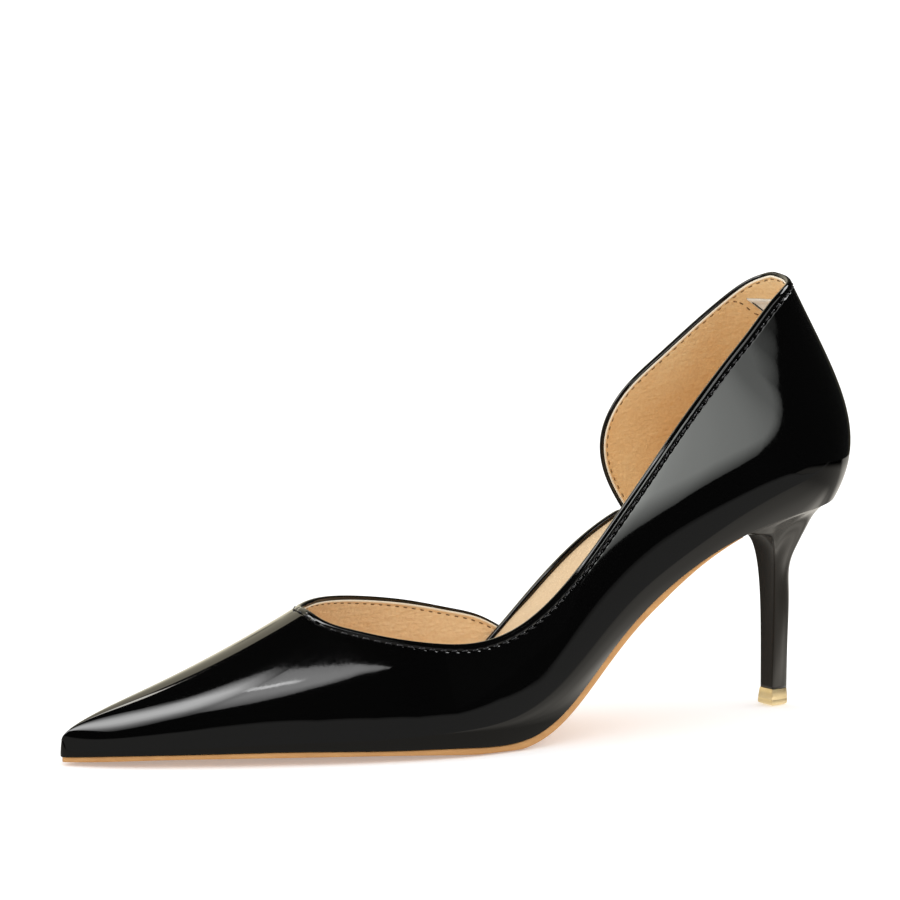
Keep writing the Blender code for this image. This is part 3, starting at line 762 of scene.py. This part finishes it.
def slab(name, layer, material, slot):
    """Layer of the foot bed with rounded edges."""
    low = sole_low if layer.low is None else over_bed(layer.low)
    high = over_bed(layer.high, layer.waist_less)
    outer, inner = bed_outline(layer.inset, layer.waist_inset)
    first = max(outer[0, 0], inner[0, 0], layer.start - SHIFT_X)
    final = min(outer[-1, 0], inner[-1, 0], layer.end - SHIFT_X)
    turn = np.linspace(0.0, math.pi, 321)
    xs = first + (final - first) * 0.5 * (1.0 - np.cos(turn))
    xs[0] += 0.02
    xs[-1] -= 0.02
    yo = np.interp(xs, outer[:, 0], outer[:, 1])
    yi = np.interp(xs, inner[:, 0], inner[:, 1])
    half = np.maximum(0.5 * (yo - yi), 0.05)
    mid = 0.5 * (yo + yi)
    thick = (high(xs, mid) - low(xs, mid)) / stretch(xs)
    top_r = np.minimum(np.minimum(layer.top_round, 0.8 * half), 0.35 * thick)
    low_r = np.minimum(np.minimum(layer.low_round, 0.8 * half), 0.55 * thick)

    def level(y, sink, bottom):
        z = low(xs, y) if bottom else high(xs, y)
        return np.stack((xs, y, z + (sink if bottom else -sink) * stretch(xs)), -1)

    def flat(share, radius, bottom):
        return level(mid - share * (half - radius), 0.0, bottom)

    def bend(side, a, radius, bottom):
        y = mid + side * (half - radius) + side * radius * math.sin(a)
        return level(y, radius * (1.0 - math.cos(a)), bottom)

    across = np.linspace(-1.0, 1.0, 25)
    corner = np.linspace(0.0, math.pi / 2.0, 6)
    rows = [flat(share, top_r, False) for share in across]
    rows += [bend(-1.0, a, top_r, False) for a in corner[1:]]
    rows += [bend(-1.0, a, low_r, True) for a in corner[::-1]]
    rows += [flat(share, low_r, True) for share in across[::-1][1:-1]]
    rows += [bend(1.0, a, low_r, True) for a in corner]
    rows += [bend(1.0, a, top_r, False) for a in corner[::-1][:-1]]
    return Sheet().tube(np.swapaxes(np.array(rows), 0, 1)).piece(name, [material], slot)


def build_bed(sole, wrap, sock):
    """Outsole, wrapped insole and sock."""
    item = slab("outsole_layer", OUTSOLE, sole, "sole_caramel")
    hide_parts("outsole")
    item = slab("insole_wrap", INSOLE, wrap, "black_wrap")
    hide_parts("insole")
    item = slab("sock_lining", SOCK, sock, "tan_sock")
    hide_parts("sock")


def build_binding(wrap):
    """Rolled edge of the insole along the open inner waist."""
    stations = INNER_FOOT[:, 0] + SHIFT_X
    line = INNER_FOOT[(stations > BINDING.ends[0]) & (stations < BINDING.ends[1])]
    at = np.linspace(line[0, 0], line[-1, 0], 161)
    line = np.stack([np.interp(at, line[:, 0], line[:, i]) for i in range(3)], -1)
    along = unit(np.gradient(line, axis=0))
    across = unit(np.cross(along, (0.0, 0.0, 1.0)))
    up = np.cross(across, along)
    show = np.minimum(ease(at + SHIFT_X, *BINDING.rises), 1.0 - ease(at + SHIFT_X, *BINDING.falls))
    top = BINDING.top + BINDING.shows * show
    inset = BINDING.inset + BINDING.shows * (1.0 - show)
    rings = []
    for a in np.arange(28) * 2.0 * math.pi / 28:
        side = np.sign(math.cos(a)) * abs(math.cos(a)) ** 0.8 * BINDING.half
        rise = np.sign(math.sin(a)) * abs(math.sin(a)) ** 0.8
        height = 0.5 * (top + BINDING.low) + rise * 0.5 * (top - BINDING.low)
        rings.append(line + across * (side - inset)[:, None] + up * height[:, None])
    Sheet().tube(np.swapaxes(np.array(rings), 0, 1)).piece("waist_binding", [wrap], "black_wrap")


# Heel
def ring_even(points, count, spread):
    """Closed ring resampled evenly, with its corners eased by a spread in millimetres."""
    closed = np.concatenate((points, points[:1]))
    length = arc(closed)
    at = np.linspace(0.0, length[-1], count, endpoint=False)
    ring = np.stack([np.interp(at, length, closed[:, i]) for i in range(3)], -1)
    step = length[-1] / count
    sigma = max(spread / step, 0.05)
    reach = np.arange(-6, 7)
    kernel = np.exp(-0.5 * (reach / sigma) ** 2)
    kernel /= kernel.sum()
    return sum(k * np.roll(ring, -r, axis=0) for k, r in zip(kernel, reach))


def section_ring():
    """Parameters round a heel section: breast across, then the outer side, then the inner side."""
    b = np.linspace(-1.0, 1.0, 25)
    a = np.linspace(0.0, 1.0, 41)
    breast = np.stack((np.zeros_like(b), b), -1)
    outer = np.stack((a[1:], np.ones(40)), -1)
    inner = np.stack((a[::-1][1:-1], -np.ones(39)), -1)
    return np.concatenate((breast, outer, inner))


def stem(ring, row):
    """Section of the stem in plan."""
    turn = ring[:, 0] * math.pi / 2.0
    return row.front - row.depth * np.sin(turn) - SHIFT_X, ring[:, 1] * row.half * np.cos(turn) - SHIFT_Y


def build_heel(lacquer):
    """Slim heel spreading up to the seat."""
    outer, inner = bed_outline(SEAT.inset, SEAT.inset)
    ring = section_ring()
    a, b = ring[:, 0], ring[:, 1]
    back = max(outer[0, 0], inner[0, 0])
    breast = SEAT.breast - SHIFT_X
    seat_x = breast - (breast - back) * np.sin(a * math.pi / 2.0)
    left = np.interp(seat_x, outer[:, 0], outer[:, 1])
    right = np.interp(seat_x, inner[:, 0], inner[:, 1])
    tip = a > 0.999
    meet = 0.5 * (outer[0, 1] + inner[0, 1])
    left[tip] = meet
    right[tip] = meet
    seat_y = right + (left - right) * (b + 1.0) / 2.0
    top = bed(seat_x, seat_y) - SEAT.gap
    behind = a * a * (3.0 - 2.0 * a)
    stem_x, stem_y = stem(ring, STEM_FOOT)
    rise = [r.rise for r in HEEL_ROWS]
    levels = 1.0 - np.linspace(1.0, 0.0, 121) ** 1.6
    value = {}
    for name in HeelRow._fields[1:]:
        value[name] = spline(rise, [getattr(r, name) for r in HEEL_ROWS], levels)
    rows = []
    for n, level in enumerate(levels):
        along = value["forward"][n] + (value["backward"][n] - value["forward"][n]) * behind
        out = value["sideways"][n] + (value["backward"][n] - value["sideways"][n]) * behind
        hollow = max(value["hollow"][n], 0.0) * (1.0 - b * b) * (1.0 - a) ** 2
        x = stem_x + along * (seat_x - stem_x) - hollow
        y = stem_y + out * (seat_y - stem_y)
        z = STEM_FOOT.height + level * (top - STEM_FOOT.height)
        tuck = SEAT.tuck * (1.0 - ease(top - z, *SEAT.fades)) / np.hypot(x - x.mean(), y - y.mean())
        x = x + tuck * (x.mean() - x)
        y = y + tuck * (y.mean() - y)
        rows.append(ring_even(np.stack((x, y, z), -1), 144, 0.5))
    item = Sheet().tube(rows).piece("heel_covered", [lacquer], "black_lacquer")
    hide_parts("heel")


def build_tip(gold):
    """Metal tip with a turned groove and a rounded foot."""
    ring = section_ring()
    rows = []
    for row in TIP_ROWS:
        x, y = stem(ring, row)
        rows.append(ring_even(np.stack((x, y, np.full_like(x, row.height)), -1), 96, 0.22))
    item = Sheet().tube(rows).piece("heel_tip", [gold], "gold_metal")
    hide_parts("top_piece")


# Materials
def set_inputs(tree, node, **inputs):
    """Link sockets and store values. Names have underscores for spaces, colours get their alpha here."""
    for name, value in inputs.items():
        socket = node.inputs[name.replace("_", " ")]
        if isinstance(value, bpy.types.NodeSocket):
            tree.links.new(value, socket)
        elif socket.type == "RGBA":
            socket.default_value = (*value, 1.0)
        else:
            socket.default_value = value


def add_node(tree, kind, **inputs):
    node = tree.nodes.new(kind)
    set_inputs(tree, node, **inputs)
    return node


class Finish:
    """A material whose nodes follow object coordinates."""

    def __init__(self, name):
        self.material = bpy.data.materials.new(name)
        self.material.use_nodes = True
        self.tree = self.material.node_tree
        self.where = self.tree.nodes.new("ShaderNodeTexCoord").outputs["Object"]

    def noise(self, scale, detail, rough=0.5, stretch=None):
        """Noise, stretched by axis if asked."""
        where = self.where
        if stretch:
            where = add_node(self.tree, "ShaderNodeMapping", Vector=where, Scale=stretch).outputs["Vector"]
        node = add_node(self.tree, "ShaderNodeTexNoise", Vector=where, Scale=scale, Detail=detail)
        set_inputs(self.tree, node, Roughness=rough)
        return node.outputs["Fac"]

    def between(self, factor, low, high):
        """A value spread over a range by the middle part of a noise."""
        node = add_node(self.tree, "ShaderNodeMapRange", Value=factor, From_Min=0.3, From_Max=0.7)
        set_inputs(self.tree, node, To_Min=low, To_Max=high)
        return node.outputs["Result"]

    def blend(self, factor, first, second):
        """Mix of two colours, each a value or a socket."""
        node = self.tree.nodes.new("ShaderNodeMix")
        node.data_type = "RGBA"
        set_inputs(self.tree, node, Factor=factor, A=first, B=second)
        return node.outputs["Result"]

    def relief(self, height, depth, before=None):
        """Bump of a given depth in metres, on top of another bump if there is one."""
        node = add_node(self.tree, "ShaderNodeBump", Height=height, Strength=1.0, Distance=depth)
        if before is not None:
            set_inputs(self.tree, node, Normal=before)
        return node.outputs["Normal"]

    def done(self, **inputs):
        set_inputs(self.tree, self.tree.nodes["Principled BSDF"], **inputs)
        return self.material


def patent(name, first, second, gloss, wave, grain, bend=1.5):
    """Coated black leather: even colour, a faint pull in the gloss and slow waves in the film."""
    finish = Finish(name)
    slow = finish.noise(42.0, 1.5, 0.4)
    peel = finish.noise(900.0, 2.0)
    colour = finish.blend(slow, first, second)
    bumps = finish.relief(peel, grain, finish.relief(slow, wave))
    return finish.done(Base_Color=colour, Roughness=finish.between(peel, *gloss), Normal=bumps, IOR=bend)


def leather(name, first, second, third, grain, depth, gloss):
    """Soft lining leather: mottled tan with a fine pebbled grain."""
    finish = Finish(name)
    cloud = finish.noise(38.0, 4.0, 0.55)
    fine = finish.noise(grain * 1.2, 3.0, 0.6)
    dimple = finish.noise(1.0, 2.0, stretch=(330.0, 330.0, 900.0))
    cells = add_node(finish.tree, "ShaderNodeTexVoronoi", Vector=finish.where, Scale=grain)
    cells.feature = "SMOOTH_F1"
    mottled = finish.blend(finish.between(cloud, 0.0, 1.0), first, second)
    colour = finish.blend(finish.between(fine, 0.0, 0.5), mottled, third)
    bumps = finish.relief(fine, depth * 0.5, finish.relief(cells.outputs["Distance"], depth))
    bumps = finish.relief(dimple, depth * 2.4, bumps)
    rough = finish.between(cloud, *gloss)
    return finish.done(Base_Color=colour, Roughness=rough, Normal=bumps, IOR=1.4, Sheen_Weight=0.12)


def thread_finish(name, first, second, gloss):
    """Twisted thread."""
    finish = Finish(name)
    twist = finish.noise(1.0, 2.0, stretch=(2600.0, 900.0, 2600.0))
    colour = finish.blend(twist, first, second)
    bumps = finish.relief(twist, 0.00005)
    return finish.done(Base_Color=colour, Roughness=finish.between(twist, *gloss), Normal=bumps)


def sole_finish(name, first, second):
    """Smooth caramel sole with faint long streaks."""
    finish = Finish(name)
    streak = finish.noise(1.0, 4.0, 0.6, (30.0, 420.0, 420.0))
    fine = finish.noise(1500.0, 2.0)
    colour = finish.blend(finish.between(streak, 0.0, 1.0), first, second)
    bumps = finish.relief(fine, 0.00002, finish.relief(streak, 0.00003))
    return finish.done(Base_Color=colour, Roughness=finish.between(fine, 0.42, 0.56), Normal=bumps)


def gold_finish(name, first, second):
    """Brushed metal, the brush marks running round."""
    finish = Finish(name)
    brush = finish.noise(1.0, 3.0, stretch=(120.0, 120.0, 5200.0))
    colour = finish.blend(finish.noise(400.0, 2.0), first, second)
    bumps = finish.relief(brush, 0.000012)
    rough = finish.between(brush, 0.42, 0.58)
    return finish.done(Base_Color=colour, Roughness=rough, Normal=bumps, Metallic=1.0)


def grey(level):
    return level, level, level


# Studio
WHITE = (1.0, 1.0, 1.0)
WORLD_LIGHT = 1.2
WORLD_GLOSS = 0.02
# Places of the boards and strips.
BOARD_GAP = 235.0
FLAG_GAP = 60.0
STRIP_HIGH = 400.0
TAIL_HIGH = 398.0
GLINT_HIGH = 396.0
BACKDROP_FAR = 900.0
# Brightness of the low board and the far floor, then of the floor near the heel and its loss farther out.
BOARD_GLOW = 0.34
HEEL_GLOW = 1.8
SIDE_GLOW = 0.95
SIDE_LOSS = 0.5
BEHIND_GLOW = 0.6
# Floor: half width and drop in metres, and the half width, drop and steps of the one that the gloss sees.
FLOOR_HALF = 40.0
FLOOR_DROP = 0.0004
GLOSS_HALF = 600.0
GLOSS_DROP = 2.0
GLOSS_STEPS = 80
# Camera: angles in degrees, distance, aim on the last, pixels to a millimetre, pixels across, sensor.
Camera = namedtuple("Camera", "yaw rise roll reach aim scale pixels sensor")
CAMERA = Camera(32.0, 6.0, 0.905, 1151.0, (127.9, 0.0, 80.0), 3.587, 900.0, 36.0)
CardRow = namedtuple("CardRow", "at low high glow")
# Low board beside the outer side: distance along, then its height.
LOW_BOARD = tuple(CardRow(at, -1, high, BOARD_GLOW) for at, high in (
    (-620, 2), (-300, 12), (-228, 32), (-187, 58), (-144, 71), (-72, 73), (-10, 94), (37, 130), (85, 192),
    (121, 280), (168, 382), (228, 440), (300, 458), (620, 470), (1600, 800), (4000, 1600),
))
# Bright panel above the board, beside the quarter.
PANEL = rows_of(
    CardRow,
    (-250, 297, 305, 0.0), (-225, 283, 330, 1.0), (-200, 260, 320, 2.1), (-180, 228, 300, 2.1),
    (-167, 178, 290, 2.2), (-158, 126, 275, 3.0), (-150, 119, 265, 3.5), (-135, 113, 250, 3.9),
    (-127, 109, 245, 4.2), (-118, 111, 235, 4.4), (-106, 117, 230, 5.0), (-98, 121, 230, 6.0),
    (-90, 124, 230, 7.5), (-82, 129, 230, 8.0), (-74, 135, 230, 8.0),
)
# Bright card above the panel, seen by the rolled edge of the quarter.
TOP_CARD = rows_of(
    CardRow,
    (-330, 350, 440, 1.6), (-250, 330, 440, 1.8), (-180, 300, 440, 2.0), (-120, 252, 430, 3.0),
    (-88, 240, 420, 4.0), (-74, 244, 420, 3.0),
)
# Dark flag that keeps the panel off the vamp.
FLAG = rows_of(
    CardRow,
    (-34, 40, 63, 0.03), (-26, 37, 80, 0.03), (-10, 30, 100, 0.03), (2, 25, 105, 0.03), (13, 23, 105, 0.03),
)
# Strip over the toe and its curved tail: distance to the outer side, then distances along.
STRIP = rows_of(
    CardRow,
    (-60, 116, 300, 0.8), (-38, 112, 320, 3.2), (-16, 108, 330, 7.2), (5, 105, 330, 9.4),
    (26, 102, 320, 9.4), (47, 100.6, 310, 6.6), (62, 99, 300, 3.6), (76, 97, 290, 1.9),
    (95, 95.5, 280, 0.4),
)
TAIL = rows_of(
    CardRow,
    (60, 100, 138, 3.5), (77, 98, 134, 4.3), (95, 95, 130, 4.3), (127, 89, 120, 4.3), (158, 82, 107, 4.3),
    (187, 74, 92, 4.3), (222, 60, 74, 4.0), (263, 39, 49, 3.2), (289, 24, 27, 2.4),
)
GLINT = rows_of(
    CardRow,
    (46, 110, 113, 5.0), (62, 109, 112, 11.0), (81, 106, 109, 12.0), (98, 102, 105, 12.0),
    (124, 97, 99, 10.0), (136, 94, 95, 4.5),
)
# Thin line along the ridge of the toe: distance along, then distances to the outer side.
RIDGE = rows_of(
    CardRow,
    (81, -200, -179, 0.0), (83.5, -204, -176, 7.0), (90, -206, -171, 8.5), (110, -202, -169, 8.0),
    (130, -198, -170, 7.0), (165, -194, -171, 5.0), (230, -190, -172, 2.0),
)
# Backdrop behind the shoe and two lamps at the ends: angle from the outer side to the toe, then angles up.
BACKDROP = rows_of(
    CardRow,
    (110, -8, 40, 0.7), (135, -8, 58, 1.2), (160, -8, 62, 1.6), (178, -8, 60, 1.7), (187, -8, 55, 1.7),
    (204, -8, 55, 1.4), (213, -8, 54, 0.7), (221, -8, 50, 0.12), (247, -8, 20, 0.05),
)
TOE_LAMP = (CardRow(92, 34, 58, 8.0), CardRow(106, 34, 60, 9.0), CardRow(122, 34, 58, 8.0))
HEEL_LAMP = (CardRow(-112, 44, 62, 7.0), CardRow(-85, 44, 64, 8.0), CardRow(-58, 46, 62, 7.0))


def beside(gap):
    """Places on an upright board beside the shoe."""
    return lambda at, level: (at * MM, gap * MM, level * MM)


def overhead(high):
    """Places on a level card over the shoe."""
    return lambda at, level: (level * MM, at * MM, high * MM)


def over_toe(at, level):
    drift = 27.0 * float(ease(level, 108, 150)) * (1.0 - 0.7 * float(ease(level, 170, 260)))
    return overhead(STRIP_HIGH)(at - drift, level)


def along_ridge(at, level):
    return overhead(STRIP_HIGH)(level, at)


def around(at, level):
    turn = math.radians(at)
    rise = math.radians(level)
    far = BACKDROP_FAR * MM
    across = far * math.cos(rise)
    return across * math.sin(turn), across * math.cos(turn), far * math.sin(rise)


def quads(rows, columns):
    """Faces of a grid of points."""
    corners = [i * columns + j for i in range(rows - 1) for j in range(columns - 1)]
    return [(a, a + columns, a + columns + 1, a + 1) for a in corners]


def glow_mesh(name, points, faces, glows, colour):
    """Card that only reflections see, its brightness stored on the points."""
    mesh = bpy.data.meshes.new(name)
    mesh.from_pydata(points, [], faces)
    mesh.attributes.new("glow", "FLOAT", "POINT").data.foreach_set("value", glows)
    material = bpy.data.materials.new(name)
    material.use_nodes = True
    material.cycles.emission_sampling = "NONE"
    tree = material.node_tree
    tree.nodes.remove(tree.nodes["Principled BSDF"])
    level = tree.nodes.new("ShaderNodeAttribute")
    level.attribute_name = "glow"
    glow = add_node(tree, "ShaderNodeEmission", Color=colour, Strength=level.outputs["Fac"])
    set_inputs(tree, tree.nodes["Material Output"], Surface=glow.outputs["Emission"])
    mesh.materials.append(material)
    item = add_object(name, mesh)
    item.visible_camera = False
    item.visible_diffuse = False
    item.visible_shadow = False


def card(name, rows, place, colour, fade, far=1.0, rise=0.2, drop=0.1):
    """Card over table rows. Fade and far are the shares of brightness left at the low side and the high side,
    rise and drop the shares of the card over which they take hold."""
    shares = (0.0, 0.5 * rise, rise, rise + 0.07, rise + 0.14, rise + 0.28, 1.0 - drop, 1.0)
    points = []
    glows = []
    for row in rows:
        for share in shares:
            points.append(place(row.at, row.low + (row.high - row.low) * share))
            left = fade + (1.0 - fade) * min(1.0, share / rise)
            glows.append(row.glow * left * (far if share == 1.0 else 1.0))
    glow_mesh(name, points, quads(len(rows), len(shares)), glows, colour)


def build_cards():
    """What the gloss sees: boards and panels beside the shoe, strips overhead, the backdrop and lamps."""
    card("low_board", LOW_BOARD, beside(BOARD_GAP), (1.0, 0.99, 0.96), fade=1.0, far=0.35)
    card("panel", PANEL, beside(BOARD_GAP), (0.97, 1.0, 0.96), fade=0.2)
    card("top_card", TOP_CARD, beside(BOARD_GAP), WHITE, fade=1.0)
    card("flag", FLAG, beside(FLAG_GAP), WHITE, fade=1.0)
    card("strip", STRIP, over_toe, WHITE, fade=0.1, rise=0.05)
    card("strip_tail", TAIL, overhead(TAIL_HIGH), WHITE, fade=0.8, far=0.3, drop=0.5)
    card("glint", GLINT, overhead(GLINT_HIGH), WHITE, fade=1.0)
    card("ridge_line", RIDGE, along_ridge, (1.0, 0.96, 0.88), fade=0.3, far=0.6)
    card("backdrop", BACKDROP, around, (1.0, 0.93, 0.72), fade=0.4)
    card("toe_lamp", TOE_LAMP, around, WHITE, fade=1.0)
    card("heel_lamp", HEEL_LAMP, around, WHITE, fade=1.0)


def build_floor_gloss():
    """The floor as the gloss sees it: brighter beside the heel and behind it."""
    line = -GLOSS_HALF + 2.0 * GLOSS_HALF * np.arange(GLOSS_STEPS + 1) / GLOSS_STEPS
    x, y = np.meshgrid(line, line, indexing="ij")
    close = HEEL_GLOW * ease(y, 12, 30) * (1.0 - ease(y, 45, 70))
    side = ease(y, -30, 0) * (close + SIDE_GLOW - SIDE_LOSS * ease(y, 60, 150))
    rear = ease(x, -300, -170) * (1.0 - ease(x, -90, -30))
    behind = BEHIND_GLOW * ease(-x, 140, 200) * ease(-y, 30, 100)
    glows = BOARD_GLOW * ease(x, -550, -420) + side * rear + behind
    points = np.stack((x, y, np.full_like(x, -GLOSS_DROP)), -1).reshape(-1, 3) * MM
    faces = quads(len(line), len(line))
    glow_mesh("floor_gloss", points.tolist(), faces, glows.ravel().tolist(), (1.0, 0.95, 0.86))


def build_floor():
    """Pale floor that reflections don't see."""
    mesh = bpy.data.meshes.new("floor")
    signs = ((-1, -1), (1, -1), (1, 1), (-1, 1))
    mesh.from_pydata([(a * FLOOR_HALF, b * FLOOR_HALF, -FLOOR_DROP) for a, b in signs], [], [(0, 1, 2, 3)])
    finish = Finish("floor_pale")
    colour = finish.blend(finish.noise(3.0, 2.0), grey(0.90), grey(0.92))
    finish.done(Base_Color=colour, Roughness=0.9, Specular_IOR_Level=0.0)
    mesh.materials.append(finish.done(Emission_Color=WHITE, Emission_Strength=0.25))
    item = add_object("floor", mesh)
    item.visible_glossy = False


def build_world():
    """Even white light for matt surfaces and the backdrop, a dim room for reflections."""
    world = bpy.data.worlds.new("studio")
    bpy.context.scene.world = world
    world.use_nodes = True
    tree = world.node_tree
    tree.nodes.clear()
    out = tree.nodes.new("ShaderNodeOutputWorld")
    path = tree.nodes.new("ShaderNodeLightPath")
    mix = add_node(tree, "ShaderNodeMixShader", Fac=path.outputs["Is Glossy Ray"])
    for socket, strength in ((1, WORLD_LIGHT), (2, WORLD_GLOSS)):
        light = add_node(tree, "ShaderNodeBackground", Color=WHITE, Strength=strength)
        tree.links.new(light.outputs["Background"], mix.inputs[socket])
    set_inputs(tree, out, Surface=mix.outputs["Shader"])


def build_camera():
    """Camera of the photograph."""
    yaw, rise, roll = (math.radians(a) for a in (CAMERA.yaw, CAMERA.rise, CAMERA.roll))
    aim = Vector(CAMERA.aim) - Vector((SHIFT_X, SHIFT_Y, 0.0))
    back = Vector((math.sin(yaw) * math.cos(rise), math.cos(yaw) * math.cos(rise), math.sin(rise)))
    right = (-back).cross(Vector((0.0, 0.0, 1.0))).normalized()
    up = right.cross(-back)
    across = right * math.cos(roll) + up * math.sin(roll)
    upward = up * math.cos(roll) - right * math.sin(roll)
    turn = Matrix((across, upward, back)).transposed().to_4x4()
    data = bpy.data.cameras.new("camera")
    data.sensor_width = CAMERA.sensor
    data.lens = CAMERA.scale * CAMERA.reach / CAMERA.pixels * CAMERA.sensor
    data.clip_start = 0.01
    data.clip_end = 200.0
    item = add_object("camera", data)
    item.matrix_world = Matrix.Translation((aim + back * CAMERA.reach) * MM) @ turn
    bpy.context.scene.camera = item


def main():
    black = patent("patent_black", grey(0.0006), grey(0.001), (0.02, 0.04), 0.000008, 0.0000008)
    wrap = patent("patent_wrap", grey(0.001), grey(0.002), (0.08, 0.14), 0.00001, 0.000002)
    lacquer = patent(
        "heel_lacquer", (0.011, 0.0095, 0.0076), (0.0145, 0.0123, 0.0098),
        (0.12, 0.18), 0.00001, 0.000002, 1.3,
    )
    # One lining leather in two copies: the quarter's copy is painted darker as painted shade, the vamp's copy
    # painted lighter as painted light.
    tan = leather(
        "lining_tan_painted_shade", (0.92, 0.72, 0.42), (0.84, 0.56, 0.27), (0.73, 0.46, 0.20),
        900.0, 0.00014, (0.5, 0.62),
    )
    # Vamp copy of the lining leather, painted lighter: painted light where more light falls on the vamp's
    # lining.
    pale = leather(
        "lining_vamp_tan_painted_light", (0.99, 0.78, 0.49), (0.95, 0.69, 0.40), (0.86, 0.57, 0.30),
        900.0, 0.00016, (0.5, 0.62),
    )
    sock = leather(
        "sock_tan", (0.77, 0.58, 0.36), (0.73, 0.53, 0.31), (0.66, 0.46, 0.26),
        1400.0, 0.00007, (0.5, 0.6),
    )
    raw = leather(
        "lining_raw_edge", (0.96, 0.88, 0.72), (0.92, 0.82, 0.64), (0.86, 0.74, 0.55),
        2000.0, 0.00003, (0.6, 0.7),
    )
    cloth = leather(
        "label_cloth", (0.84, 0.82, 0.76), (0.80, 0.78, 0.71), (0.70, 0.68, 0.60),
        3000.0, 0.00003, (0.7, 0.8),
    )
    dark_thread = thread_finish("thread_black", (0.010, 0.010, 0.011), (0.03, 0.03, 0.032), (0.12, 0.22))
    brown_thread = thread_finish("thread_brown", (0.16, 0.085, 0.03), (0.24, 0.13, 0.05), (0.5, 0.65))
    sole = sole_finish("sole_edge", (0.58, 0.30, 0.10), (0.48, 0.23, 0.07))
    gold = gold_finish("tip_gold", (0.66, 0.53, 0.30), (0.74, 0.61, 0.38))
    build_skin(black)
    build_fold(black)
    build_lining(tan, pale, raw)
    build_stitches(dark_thread, brown_thread)
    build_label(cloth)
    build_small_seams(dark_thread, brown_thread)
    build_bed(sole, wrap, sock)
    build_binding(wrap)
    build_heel(lacquer)
    build_tip(gold)
    build_floor()
    build_cards()
    build_floor_gloss()
    build_world()
    build_camera()
    bpy.context.scene.view_settings.view_transform = "Standard"


main()
